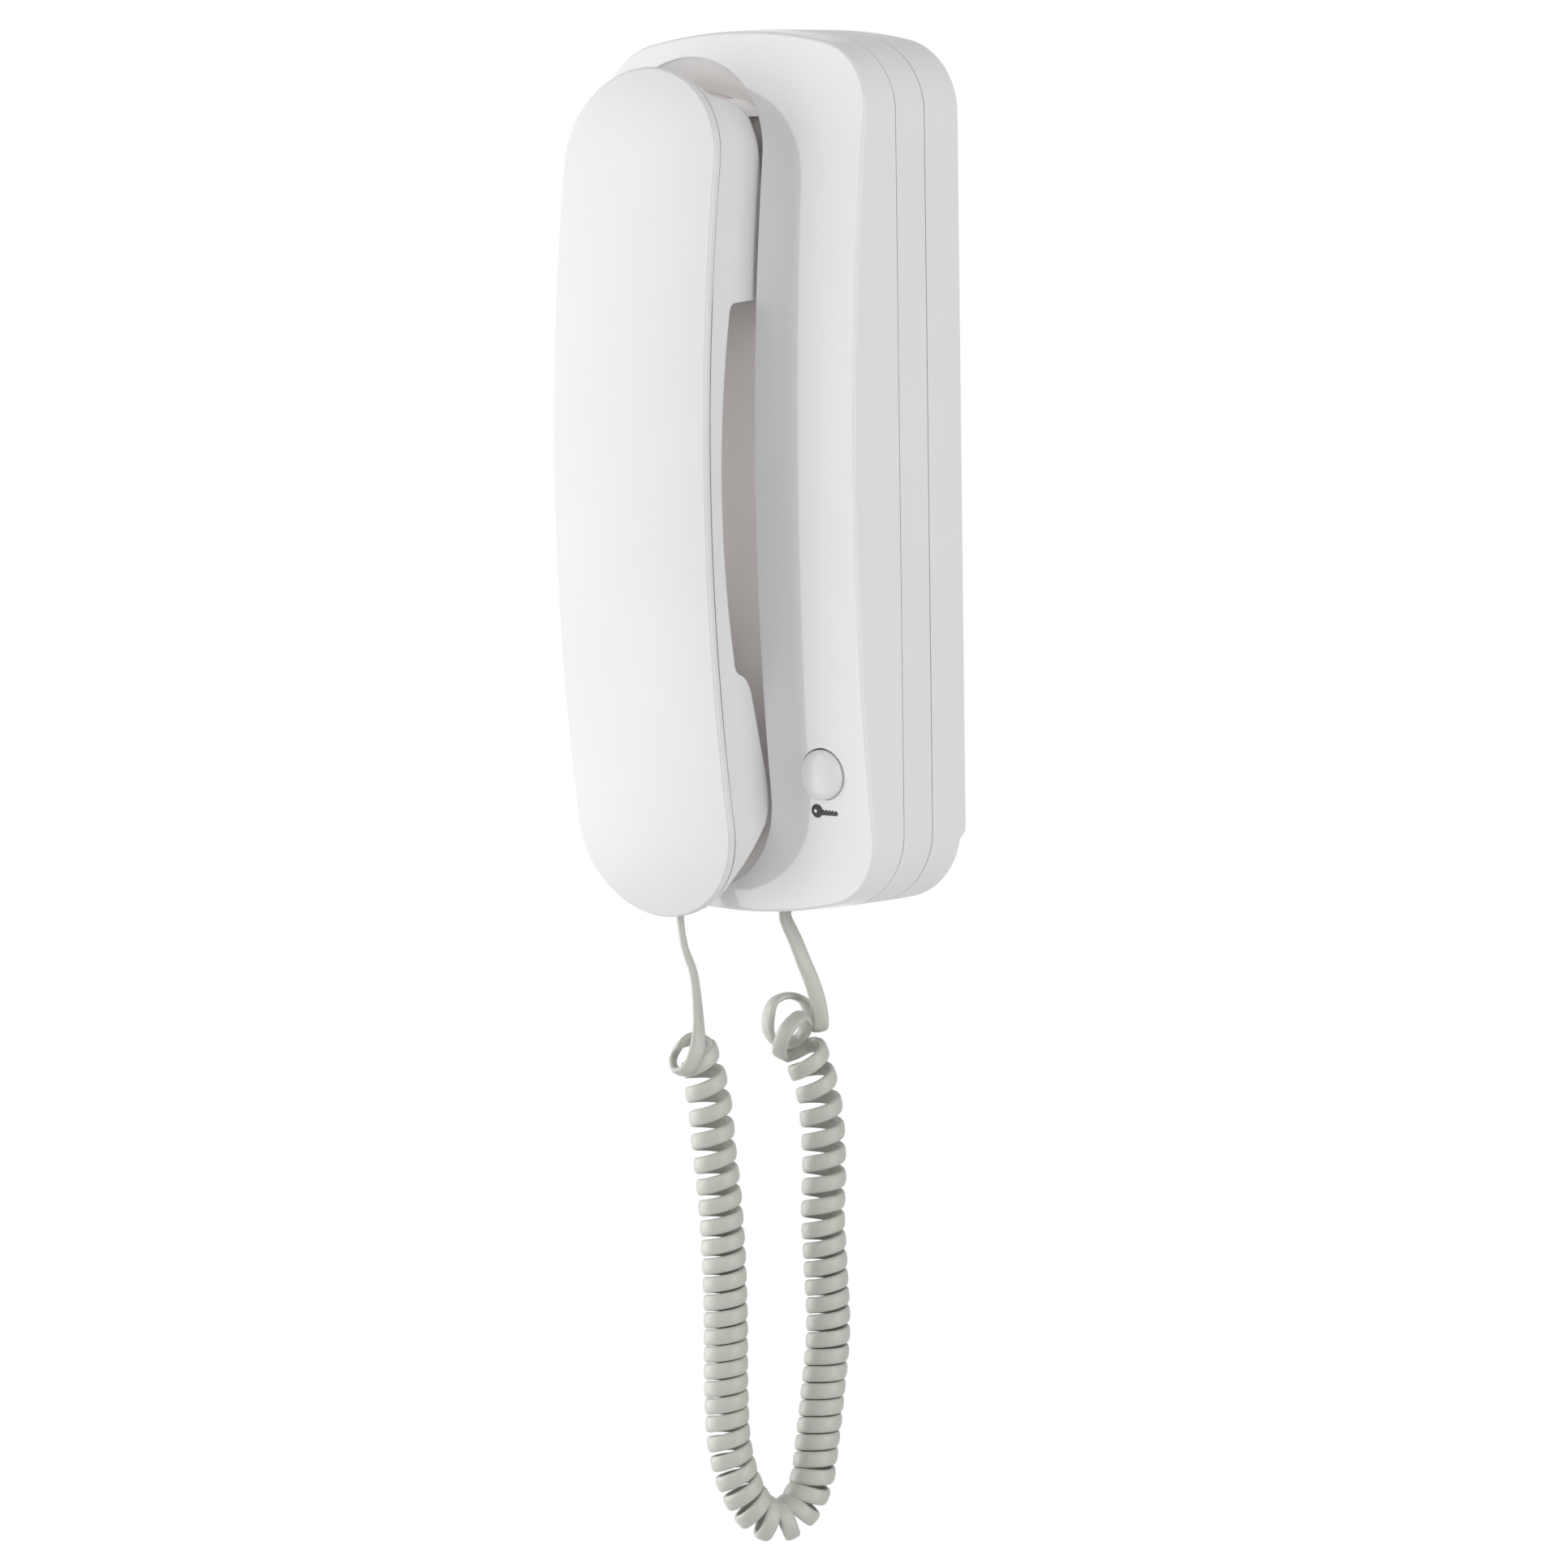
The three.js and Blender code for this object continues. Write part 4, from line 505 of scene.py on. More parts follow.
def noise(nodes, links, scale, detail=3.0, roughness=0.55, stretch=None):
    """Noise on the object's own coordinates, in features per metre."""
    place = nodes.new("ShaderNodeTexCoord").outputs["Object"]
    if stretch:
        mapping = nodes.new("ShaderNodeMapping")
        mapping.inputs["Scale"].default_value = stretch
        links.new(place, mapping.inputs["Vector"])
        place = mapping.outputs[0]
    texture = nodes.new("ShaderNodeTexNoise")
    texture.inputs["Scale"].default_value = scale
    texture.inputs["Detail"].default_value = detail
    texture.inputs["Roughness"].default_value = roughness
    links.new(place, texture.inputs["Vector"])
    return texture.outputs["Fac"]


def ranged(nodes, links, value, low, high, start=0.3, stop=0.7):
    """A noise value spread from low to high."""
    spread = nodes.new("ShaderNodeMapRange")
    for key, number in zip(("From Min", "From Max", "To Min", "To Max"), (start, stop, low, high)):
        spread.inputs[key].default_value = number
    links.new(value, spread.inputs["Value"])
    return spread.outputs["Result"]


def tinted(nodes, links, value, first, second):
    """A colour that goes from the first to the second with a value."""
    blend = nodes.new("ShaderNodeMix")
    blend.data_type = "RGBA"
    for key, colour in (("A", first), ("B", second)):
        if isinstance(colour, bpy.types.NodeSocket):
            links.new(colour, blend.inputs[key])
        else:
            blend.inputs[key].default_value = (*colour, 1)
    links.new(value, blend.inputs["Factor"])
    return blend.outputs["Result"]


def maths(nodes, links, operation, *values):
    """A maths node's result from other nodes' values and plain numbers."""
    node = nodes.new("ShaderNodeMath")
    node.operation = operation
    for socket, value in zip(node.inputs, values):
        if isinstance(value, bpy.types.NodeSocket):
            links.new(value, socket)
        else:
            socket.default_value = value
    return node.outputs[0]


def painted_recess_light(nodes, links, tint, deep):
    """Blends to a painted warm, lighter tint from 0.7 to 3 mm below the arched face, within the
    trough's limits. The tint is painted light: it stands in for the warm bounced light in the
    trough's shade."""
    shallow, full, beside, beyond = 0.7 * MM, 3.0 * MM, 1.6, 0.3
    place = nodes.new("ShaderNodeSeparateXYZ")
    links.new(nodes.new("ShaderNodeTexCoord").outputs["Object"], place.inputs[0])
    x, y, z = place.outputs
    arch, crown = FACE_ARCH * MM / (HALF_HEIGHT * MM) ** 2, (FRONT_SEAM + FACE_RISE + FACE_ARCH) * MM
    below = maths(nodes, links, "MULTIPLY_ADD", maths(nodes, links, "MULTIPLY", z, z), -arch, y)
    inside = ranged(nodes, links, below, 0.0, 1.0, shallow - crown, full - crown)
    for value, middle, reach in (
        (x, TROUGH_X, TROUGH_HALF + beside),
        (z, (TROUGH_LOW + TROUGH_HIGH) / 2, (TROUGH_HIGH - TROUGH_LOW) / 2 + beyond),
    ):
        within = maths(nodes, links, "COMPARE", value, middle * MM, reach * MM)
        inside = maths(nodes, links, "MULTIPLY", inside, within)
    return tinted(nodes, links, inside, tint, linear(*deep))


def moulded(name, colour, roughness, grain=2200.0, height=0.006, shade=0.97, deep=None, ior=1.5):
    """Moulded plastic: a fine grain, slow changes of shade, and a gloss that varies a
    little over the surface. A deep colour, where one is given, is a painted warm, lighter tint
    that takes over in the trough and stands in for the bounced light in its shade.
    Grain is in features per metre, and height in millimetres."""
    material, nodes, links, shader = new_material(name)
    base = linear(*colour)
    patches = noise(nodes, links, scale=26.0, detail=2.0)
    tint = tinted(nodes, links, ranged(nodes, links, patches, 0.0, 1.0), base * shade, base)
    # In the trough the colour goes over to a painted warm, lighter tint for the bounced light in its
    # shade.
    if deep is not None:
        tint = painted_recess_light(nodes, links, tint, deep)
    links.new(tint, shader.inputs["Base Color"])
    handling = noise(nodes, links, scale=45.0, roughness=0.5)
    gloss = ranged(nodes, links, handling, roughness * 0.94, roughness * 1.08, start=0.2, stop=0.8)
    links.new(gloss, shader.inputs["Roughness"])
    bump = nodes.new("ShaderNodeBump")
    bump.inputs["Strength"].default_value = 1.0
    bump.inputs["Distance"].default_value = height * MM
    links.new(noise(nodes, links, grain, detail=2.0), bump.inputs["Height"])
    links.new(bump.outputs[0], shader.inputs["Normal"])
    shader.inputs["IOR"].default_value = ior
    return material


def metal(name, colour, roughness):
    """Turned or stamped metal: fine lines in the gloss and a faint change of colour."""
    material, nodes, links, shader = new_material(name)
    base = linear(*colour)
    lines = noise(nodes, links, scale=1500.0, roughness=0.6, stretch=(1.0, 1.0, 14.0))
    gloss = ranged(nodes, links, lines, roughness * 0.7, roughness * 1.4)
    links.new(gloss, shader.inputs["Roughness"])
    stain = noise(nodes, links, scale=300.0)
    tint = tinted(nodes, links, ranged(nodes, links, stain, 0, 1), base * 0.86, base)
    links.new(tint, shader.inputs["Base Color"])
    shader.inputs["Metallic"].default_value = 1.0
    return material


def clear_moulding(name):
    """Clear polycarbonate, faintly clouded along its moulding flow."""
    material, nodes, links, shader = new_material(name)
    shader.inputs["Base Color"].default_value = (*linear(238, 240, 240), 1)
    shader.inputs["Transmission Weight"].default_value = 0.82
    shader.inputs["IOR"].default_value = 1.58
    flow = noise(nodes, links, scale=500.0, roughness=0.6, stretch=(1.0, 1.0, 0.2))
    links.new(ranged(nodes, links, flow, 0.06, 0.2), shader.inputs["Roughness"])
    return material


def circuit_board(name):
    """Green solder mask over a faint glass weave, with the copper's paths showing through."""
    material, nodes, links, shader = new_material(name)
    paths = noise(nodes, links, 420.0, detail=1.0, roughness=0.4, stretch=(1.0, 1.0, 0.35))
    copper = ranged(nodes, links, paths, 0, 1, start=0.47, stop=0.53)
    tint = tinted(nodes, links, copper, linear(28, 74, 48), linear(46, 104, 66))
    links.new(tint, shader.inputs["Base Color"])
    weave = noise(nodes, links, 2400.0, detail=1.0)
    links.new(ranged(nodes, links, weave, 0.28, 0.42), shader.inputs["Roughness"])
    return material


def cord_vinyl(name):
    """Soft grey vinyl: a satin skin with a fine drawn grain along and across the strap."""
    material, nodes, links, shader = new_material(name)
    base = linear(187, 187, 180)
    slow = noise(nodes, links, scale=60.0)
    tint = tinted(nodes, links, ranged(nodes, links, slow, 0, 1), base * 0.95, base)
    links.new(tint, shader.inputs["Base Color"])
    fine = noise(nodes, links, scale=900.0, detail=4.0, roughness=0.65)
    links.new(ranged(nodes, links, fine, 0.38, 0.52), shader.inputs["Roughness"])
    bump = nodes.new("ShaderNodeBump")
    bump.inputs["Distance"].default_value = 0.012 * MM
    links.new(fine, bump.inputs["Height"])
    links.new(bump.outputs[0], shader.inputs["Normal"])
    shader.inputs["Subsurface Weight"].default_value = 0.08
    shader.inputs["Subsurface Radius"].default_value = (0.001, 0.001, 0.001)
    shader.inputs["Subsurface Scale"].default_value = 0.6
    return material


# Its deep colour is painted light: a warm, lighter tint in the trough for the bounced light in its
# shade.
gloss_white_with_painted_recess = moulded(
    "gloss_white_moulding_with_painted_recess", (224, 225, 227), 0.03, grain=900.0, height=0.0006, shade=0.985,
    deep=(240, 235, 233), ior=1.38,
)
satin_white = moulded("satin_white_moulding", (224, 224, 223), 0.36)
handset_white = moulded("handset_white_moulding", (215, 215, 216), 0.25)
# Painted light: the hook is lighter than its plastic would be, so that its facet in the handset's
# shade looks lit.
hook_white_painted_bright = moulded("hook_moulding_painted_bright", (252, 250, 250), 0.38)
button_white = moulded("button_white_moulding", (222, 222, 221), 0.3, height=0.004)
board_green = circuit_board("circuit_board")
dark_moulding = moulded("dark_moulding", (36, 36, 38), 0.42, 1800.0, 0.01, 0.85)
green_moulding = moulded("green_terminal_moulding", (62, 134, 82), 0.4, 1800.0, 0.008, 0.9)
steel = metal("screw_steel", (188, 190, 192), 0.28)
sleeve_dark = moulded("capacitor_sleeve", (40, 42, 50), 0.3, 1200.0, 0.006, 0.85)
clear_plug = clear_moulding("clear_plug_moulding")
vinyl = cord_vinyl("cord_vinyl")
rubber = moulded("microphone_rubber", (48, 48, 48), 0.7, 1500.0, 0.02, 0.85)
key_ink = moulded("key_symbol_ink", (34, 28, 26), 0.45, 1500.0, 0.004, 0.9)


# ---- the cord and its plugs
def kept(name, node, material, body):
    """A CAD node's own shape, merged and shaded, as a piece."""
    return piece(name, from_cad(node), material, body, node)


def make_cord(plugs):
    """The curly cord as one strap, from plug to plug."""
    line, facing = cord_route()
    points, faces = strap(line, facing, CORD_WIDTH, CORD_THICKNESS)
    mesh = new_mesh("cord", points, faces)
    soften(mesh, 50)
    cord = piece("handset_curly_cord", mesh, vinyl, "base", "curly_cord", "handset_lead", "base_lead")


make_cord([
    kept("clear_handset_plug", "handset_plug", clear_plug, "handset"),
    kept("clear_base_plug", "base_plug", clear_plug, "base"),
])


# ---- front cover
HOOK_DEPTH, HOOK_Z, HUB_RADIUS, PIN_RADIUS = 22.6, 61.0, 2.4, 1.08
LUG_Z, LUG_HEIGHT, LUG_HALF, LIFT_ANGLE = 24.62, 5.0, 6.0, np.radians(30)
BUTTON = (26.0, -70.4)


def face_depth(z):
    """The cover's face is a shallow arch that falls with the square of the height."""
    return FRONT_SEAM + FACE_RISE + FACE_ARCH * (1 - (z / HALF_HEIGHT) ** 2)


def quarter(steps, radius):
    """Inset and drop of a quarter-round edge, from its side to its top."""
    a = np.linspace(0, PI / 2, steps)
    return radius * (1 - np.cos(a)), radius * (1 - np.sin(a))


def cover_shell():
    """Outside of the cover: sides with a slight draft, a quarter-round rim, the arched face."""
    draft, rim_radius = 0.5, 0.7
    rings = [ring(body_outline(0.0), FRONT_SEAM + SEAM / 2)]
    for inset, drop in zip(*quarter(6, rim_radius)):
        rings.append(ring(body_outline(draft + inset), lambda z, g=drop: face_depth(z) - g))
    return skin("cover", rings)


def trough_cut(extra, rounded_rim):
    """The trough for the handset, larger all round by an extra: sides straight back, then a
    slope to a rounded floor edge. It opens to a rounded rim, or straight."""
    floor_half, floor_low, floor_high, floor_depth, floor_radius = 22.9, -91.0, 90.5, 27.5, 1.2
    slope_depth, least_side, rim_radius, opened = 34.0, 0.5, 0.45, 0.4
    rings = []
    for a, b in zip(*quarter(5, floor_radius)):
        shape = stadium(floor_half + extra - b, floor_low - extra + b, floor_high + extra - b)
        rings.append(ring(shape, floor_depth - extra + a, TROUGH_X))
    half, low, high = TROUGH_HALF + extra, TROUGH_LOW - extra, TROUGH_HIGH + extra
    side = stadium(half, low, high)
    rings.append(ring(side, lambda z: np.minimum(slope_depth, face_depth(z) - least_side), TROUGH_X))
    if rounded_rim:
        for a, b in list(zip(*quarter(5, rim_radius)))[:-1]:
            shape = stadium(half + a, low - a, high + a)
            rings.append(ring(shape, lambda z, g=b: face_depth(z) - g, TROUGH_X))
        side = stadium(half + opened, low - opened, high + opened)
        rings.append(ring(side, lambda z: face_depth(z) + 0.3, TROUGH_X))
    rings.append(ring(side, AHEAD, TROUGH_X))
    return skin("trough", rings)


def clip_leg(side, end):
    """A snap leg inside the cover's edge, with its nose outward."""
    outer, nose, root = side * 37.4, side * 38.5, side * 39.0
    inner = outer - side * 1.6
    tip, nose_back, nose_front, rim = 20.2, 21.0, 21.8, FRONT_SEAM + SEAM / 2 + 2
    step = rim - 1.6
    place, half = end * 45, 6
    return prism("clip", [
        (inner, tip), (nose, nose_back), (nose, nose_front), (outer, nose_front),
        (outer, step), (root, step), (root, rim), (inner, rim),
    ], place - half, place + half, "z")


def hook_ear(side):
    """An ear behind the tub that holds the hook's pin."""
    x, half, front = TROUGH_X + side * 16.7, 1.1, 26.0
    a = np.linspace(0, PI, 17)
    back = [(HOOK_DEPTH - HUB_RADIUS * np.sin(t), HOOK_Z + HUB_RADIUS * np.cos(t)) for t in a]
    outline = [(front, HOOK_Z + HUB_RADIUS), *back, (front, HOOK_Z - HUB_RADIUS)]
    return prism("ear", outline, x - half, x + half, "x")


def pin_bore():
    """The bore for the hook's pin, through the ears and the hub."""
    return prism("pin_bore", circle(HOOK_DEPTH, HOOK_Z, PIN_RADIUS, 32), *across(30))


def lug_bar(back, front, room):
    """A bar between two depths that rises along the handset's way out, as large as the lug
    with some room round it."""
    rise, more = np.tan(LIFT_ANGLE), room / np.cos(LIFT_ANGLE)
    low = [(depth, LUG_Z + depth * rise - more) for depth in (back, front)]
    high = [(depth, z + LUG_HEIGHT + 2 * more) for depth, z in low[::-1]]
    return prism("lug", low + high, *across(LUG_HALF + room))


def make_cover():
    """The front cover: shell, hollow, tub, button sleeve, hook window, clips and lug."""
    wall, tub_wall, hole, sleeve, sleeve_back = 2.2, 2.0, 6.2, 7.9, 31.5
    window_half, window_low, window_high = 13.4, 63.6, 88.6
    cavity = skin("cavity", [
        ring(body_outline(wall), FRONT_SEAM - 1),
        ring(body_outline(wall + 0.5), lambda z: face_depth(z) - wall),
    ])
    tub = carved("tub", trough_cut(tub_wall, False), ("INTERSECT", cover_shell()))
    boss = carved("boss", peg(*BUTTON, sleeve, sleeve_back, AHEAD), ("INTERSECT", cover_shell()))
    rim_cut = cone("rim_cut", BUTTON, [
        (hole, -3), (hole, -0.12), (hole + 0.02, -0.04), (hole + 0.08, 0.02), (hole + 0.1, 5),
    ])
    window = block(
        TROUGH_X - window_half, TROUGH_X + window_half, BEHIND, AHEAD, window_low, window_high,
    )
    steps = [
        ("DIFFERENCE", cavity), ("UNION", tub), ("UNION", boss),
        ("DIFFERENCE", trough_cut(0.0, True)),
        ("DIFFERENCE", peg(*BUTTON, hole, BEHIND, AHEAD, 64)), ("DIFFERENCE", rim_cut),
        ("DIFFERENCE", window), ("UNION", lug_bar(26.5, 38.0, 0.0)),
        ("UNION", hook_ear(-1)), ("UNION", hook_ear(1)), ("DIFFERENCE", pin_bore()),
    ]
    steps += [("UNION", clip_leg(side, end)) for side in (-1, 1) for end in (-1, 1)]
    mesh = carved("cover", cover_shell(), *steps)
    finished("front_cover_moulding", mesh, gloss_white_with_painted_recess, "base", "front_cover")


def make_button():
    """The door button: a domed cap with a flange behind the cover, hollow round its stem. The
    cap sits a little low and to the left in its hole."""
    x, z = BUTTON
    radius, side, rise = 6.0, 0.6, 1.3
    flange, flange_back, flange_depth, edge = 7.5, 29.8, 1.4, 0.1
    hollow_radius, stem_radius, stem_front = 4.35, 2.2, 36.0
    back = flange_back - face_depth(z)
    front = back + flange_depth
    turns = np.linspace(0.12, PI / 2, 14)[:-1]
    cap = cone("cap", (x - 0.05, z - 0.1), [
        (flange - edge, back), (flange, back + edge), (flange, front - edge),
        (flange - edge, front), (radius, front), (radius, side - 0.1),
        *[(radius * np.cos(a), side + rise * np.sin(a)) for a in turns], (0.02, side + rise),
    ])
    hollow = carved(
        "hollow", peg(x, z, hollow_radius, BEHIND, face_depth(z) - 1.3),
        ("DIFFERENCE", peg(x, z, stem_radius, BEHIND - 1, AHEAD)),
    )
    stem_back = -max(v.co.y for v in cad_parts["door_button"].data.vertices) / MM
    stem = peg(x, z, stem_radius, stem_back, stem_front)
    mesh = carved("button", cap, ("DIFFERENCE", hollow), ("UNION", stem))
    finished("door_button_cap", mesh, button_white, "door_button", "door_button")


def cone(name, centre, profile):
    """A turned shape round a line straight out of the face: (radius, depth beyond the face)."""
    base = face_depth(centre[1])
    rings = [ring(circle(*centre, r), base + d) for r, d in profile]
    return new_mesh(name, np.vstack(rings), tube_faces(len(rings), 64))


make_cover()
make_button()


# ---- hook
def make_hook():
    """The hook: a sloping paddle that the ear cup rests on, its arm and its hub."""
    side = [
        (22.2, 64.0), (24.4, 64.0), (29.2, 66.0), (34.2, 66.0), (34.9, 66.25), (35.2, 67.0),
        (35.2, 73.2), (35.05, 74.1), (34.75, 74.7), (30.3, 87.3), (29.95, 88.0), (29.3, 88.3),
        (26.4, 88.3), (24.2, 75.0), (22.2, 73.0),
    ]
    paddle = prism("paddle", side, *across(13.2))
    lip = prism("lip", [
        (28.0, 84.5), (31.3, 84.5), (30.3, 87.3), (29.8, 88.5), (29.0, 88.8), (28.0, 88.8),
    ], *across(19.0))
    hollow = prism("hollow", [
        (20.0, 67.8), (33.4, 67.8), (33.4, 73.4), (27.7, 80.0), (20.0, 80.0),
    ], *across(11.0))
    arm_back, arm_front, arm_top = HOOK_DEPTH - 0.4, HOOK_DEPTH + 1.8, HOOK_Z + 4
    arm = prism("arm", rectangle(arm_back, arm_front, HOOK_Z, arm_top), *across(13.0))
    hub = prism("hub", circle(HOOK_DEPTH, HOOK_Z, HUB_RADIUS, 48), *across(15.3))
    mesh = carved(
        "hook", paddle, ("UNION", lip), ("DIFFERENCE", hollow), ("UNION", arm), ("UNION", hub),
        ("DIFFERENCE", pin_bore()),
    )
    finished("hook_paddle", mesh, hook_white_painted_bright, "hook_lever", "hook_lever")


make_hook()


# ---- handset
HALF, LOW, HIGH, WALL = 22.9, -105.3, 96.4, 2.0
EAR_Z, MOUTH_Z = 67.4, -59.0
SHELL_SCREWS = (33.0, -37.0)


def shell_seam(z):
    """The joint line between the handset's shells falls back with the square of the height."""
    depth, fall, middle, reach = 57.9, 6.1, 1.0, 76.0
    return depth - fall * ((z - middle) / reach) ** 2


def handle_back(z):
    """The back of the handle between the two cups, which is arched."""
    depth, arch, middle, reach = 48.9, 3.9, -2.9, 44.1
    return depth + arch * (1 - ((z - middle) / reach) ** 2)


def make_front_shell():
    """The handset's front: a straight skirt, a soft edge and a lightly crowned face, made of
    rings that shrink to the middle line."""
    def outline(inset):
        return stadium(HALF - inset, LOW + inset, HIGH - inset)

    edge, soft, crown = 2.45, 0.55, 0.9
    steps = [(0.45, 0.15), (0.2, 0.35), (0.0, 0.7), (0.0, edge - soft)]
    for a in np.linspace(0, PI / 2, 6)[1:]:
        rounding = edge - soft * (1 - np.sin(a)) + 0.06 * a / (PI / 2)
        steps.append((soft * (1 - np.cos(a)), rounding))
    for inset in (0.9, 1.6, 2.6, 4, 6, 8, 10, 12, 14, 16, 18, 20, 21.5, HALF - 0.02):
        steps.append((inset, edge + crown * (1 - ((HALF - inset) / HALF) ** 2)))
    outer = skin("front_shell", [
        ring(outline(inset), lambda z, g=lift: shell_seam(z) + g, TROUGH_X) for inset, lift in steps
    ])
    inner = skin("front_hollow", [
        ring(outline(WALL), lambda z: shell_seam(z) - 1, TROUGH_X),
        ring(outline(WALL + 0.4), lambda z: shell_seam(z) + 0.3, TROUGH_X),
        ring(outline(8.0), lambda z: shell_seam(z) + 0.8, TROUGH_X),
    ])
    mesh = carved("front_shell", outer, ("DIFFERENCE", inner))
    finished("handset_front_moulding", mesh, handset_white, "handset", "handset_front_shell")


make_front_shell()


def back_line():
    """The handset's back seen from the side: ear cup, arched handle, mouth cup. Straight
    runs joined by quadratic curves, as (depth, z)."""
    ear, mouth = 41.2, -47.0
    mid = (ear + mouth) / 2
    moves = [
        (98.4, 46.9), (91.6, 46.6), ((90.0, 46.3), (88.9, 42.0)), ((87.4, 36.4), (84.4, 35.5)),
        (73.4, 35.5), (ear + 5.3, 35.5), ((ear, 35.5), (ear, 41.0)),
        (ear - 0.4, 46.3), ((ear - 0.5, 48.6), (ear - 3, 48.9)),
        ((mid, 56.7), (mouth + 3.5, 48.9)), ((mouth + 0.5, 48.7), (mouth, 46.3)),
        ((mouth - 1.2, 43.2), (mouth - 5.6, 42.1)), (-68.5, 37.7),
        ((-77.4, 34.7), (-82.5, 37.3)), ((-91.4, 43.8), (-96, 45)), (-107.3, 45.2),
    ]
    line = [moves[0]]
    for move in moves[1:]:
        if np.ndim(move[0]) == 0:
            line.append(move)
            continue
        start, bend, stop = (np.array(p, float) for p in (line[-1], *move))
        t = np.linspace(0, 1, 17)[1:, None]
        line.extend(map(tuple, start * (1 - t) ** 2 + 2 * bend * t * (1 - t) + stop * t**2))
    return [(depth, z) for z, depth in line]


def rear_sides():
    """Outside of the handset's rear: rings that round the back line's edge, then run forward
    to the joint. The sides come in by the pinch where they drop into the trough."""
    inside, gap, pinch, pinch_depth, pinch_run = 0.35, 0.27, 0.25, 44.3, 10.3
    edge_radius, ear_radius, ear_start, ear_run = 1.2, 2.8, 66.0, 20.0
    depths, heights = np.array(back_line()).T
    low, high, half = LOW + inside, HIGH - inside, HALF - inside
    z = np.r_[heights, np.arange(low + half, high - half, 2.5)]
    z = np.sort(z[(z > low + half + 0.3) & (z < high - half - 0.3)])
    z = np.r_[z[np.r_[True, np.diff(z) > 0.04]], high - half]

    def joint(q):
        return shell_seam(q) - gap

    def at(turn):
        """The ring where the rounded edge has turned by an angle. Its radius grows round the
        ear cup's end."""
        right = np.vstack([
            [[0, low]],
            arc(0, low + half, half, -PI / 2, 0, 30),
            np.stack([np.full(len(z), half), z], 1),
            arc(0, high - half, half, 0, PI / 2, 30),
        ])
        x, q = mirrored(right).T
        soft = mix(edge_radius, ear_radius, smooth((q - ear_start) / ear_run))
        inset, rise = soft * (1 - np.sin(turn)), soft * (1 - np.cos(turn))
        middle = np.clip(q, low + half, high - half)
        x = x * (1 - inset / half)
        q = middle + (q - middle) * (1 - inset / half)
        depth = np.interp(-q, -heights, depths) + rise
        depth = np.minimum(depth, joint(q) - 1.0)
        narrow = pinch / half * np.clip((pinch_depth - depth) / pinch_run, 0, 1)
        return np.stack([x * (1 - narrow) + TROUGH_X, -depth, q], 1)

    rings = [at(turn) for turn in np.linspace(0, PI / 2, 8)]
    flat = rings[-1][:, [0, 2]] - [TROUGH_X, 0]
    for inset, drop in ((0.0, 0.06), (0.06, 0.0)):
        rings.append(ring(flat * (1 - inset / half), lambda q, g=drop: joint(q) - g, TROUGH_X))
    return skin("rear_sides", rings)


def make_rear_shell():
    """The handset's rear with the tray for its wires, the pockets for its capsules and
    socket, and their holes."""
    tray_low, tray_high, tray_wall, post, hole = -41.0, 36.2, 2.3, 3.7, 0.9
    tray = [(handle_back(z) + tray_wall, z) for z in np.linspace(tray_high, tray_low, 21)]
    tray = prism("tray", [*tray, (AHEAD, tray_low), (AHEAD, tray_high)], *across(19.9))
    for z in SHELL_SCREWS:
        tray = carved("tray", tray, ("DIFFERENCE", peg(TROUGH_X, z, post, BEHIND, AHEAD)))
    # The capsules' pockets, the wires' two channels, the socket's pocket and its mouth.
    cuts = [
        tray, peg(TROUGH_X, EAR_Z, 12.5, 39.2, AHEAD), peg(TROUGH_X, MOUTH_Z, 6.3, 44, AHEAD),
        block(TROUGH_X - 14, TROUGH_X - 9, 50, AHEAD, 33.2, EAR_Z),
        block(TROUGH_X - 14, TROUGH_X - 9, 51, AHEAD, -80.5, -39.0),
        block(TROUGH_X - 7.35, TROUGH_X + 5.05, 36.83, AHEAD, -83.8, -71.2),
        block(TROUGH_X - 6.1, TROUGH_X + 3.8, 38.08, 46.72, -109, -82.5),
        lug_bar(25.5, 39.6, 0.4),
    ]
    for reach, count in ((0, 1), (3.6, 6), (7.2, 12)):
        for a in np.arange(count) / count * 2 * PI:
            x, z = TROUGH_X + reach * np.cos(a), EAR_Z + reach * np.sin(a)
            cuts.append(peg(x, z, hole, BEHIND, 40.2, 20))
    for x in (TROUGH_X - 3, TROUGH_X, TROUGH_X + 3):
        cuts.append(block(x - 0.7, x + 0.7, BEHIND, 45, MOUTH_Z - 3, MOUTH_Z + 3))
    for z in SHELL_SCREWS:
        seat = handle_back(z) + 1.6
        cuts.append(peg(TROUGH_X, z, 3.1, BEHIND, seat))
        cuts.append(peg(TROUGH_X, z, 1.6, seat - 1, seat + 6))
        cuts.append(peg(TROUGH_X, z, 3.2, seat + 2.2, AHEAD))
    mesh = carved("rear_shell", rear_sides(), *(("DIFFERENCE", cut) for cut in cuts))
    finished("handset_rear_moulding", mesh, handset_white, "handset", "handset_rear_shell")


make_rear_shell()


# ---- middle frame and rear housing
# The rear housing's foot stands off the wall by a step that slopes from one height to the
# other. The CAD's step is higher, and is filled from its top down.
FOOT_STEP, FOOT_START, FOOT_END, CAD_FOOT = 2.0, -86.0, -88.0, -79.8


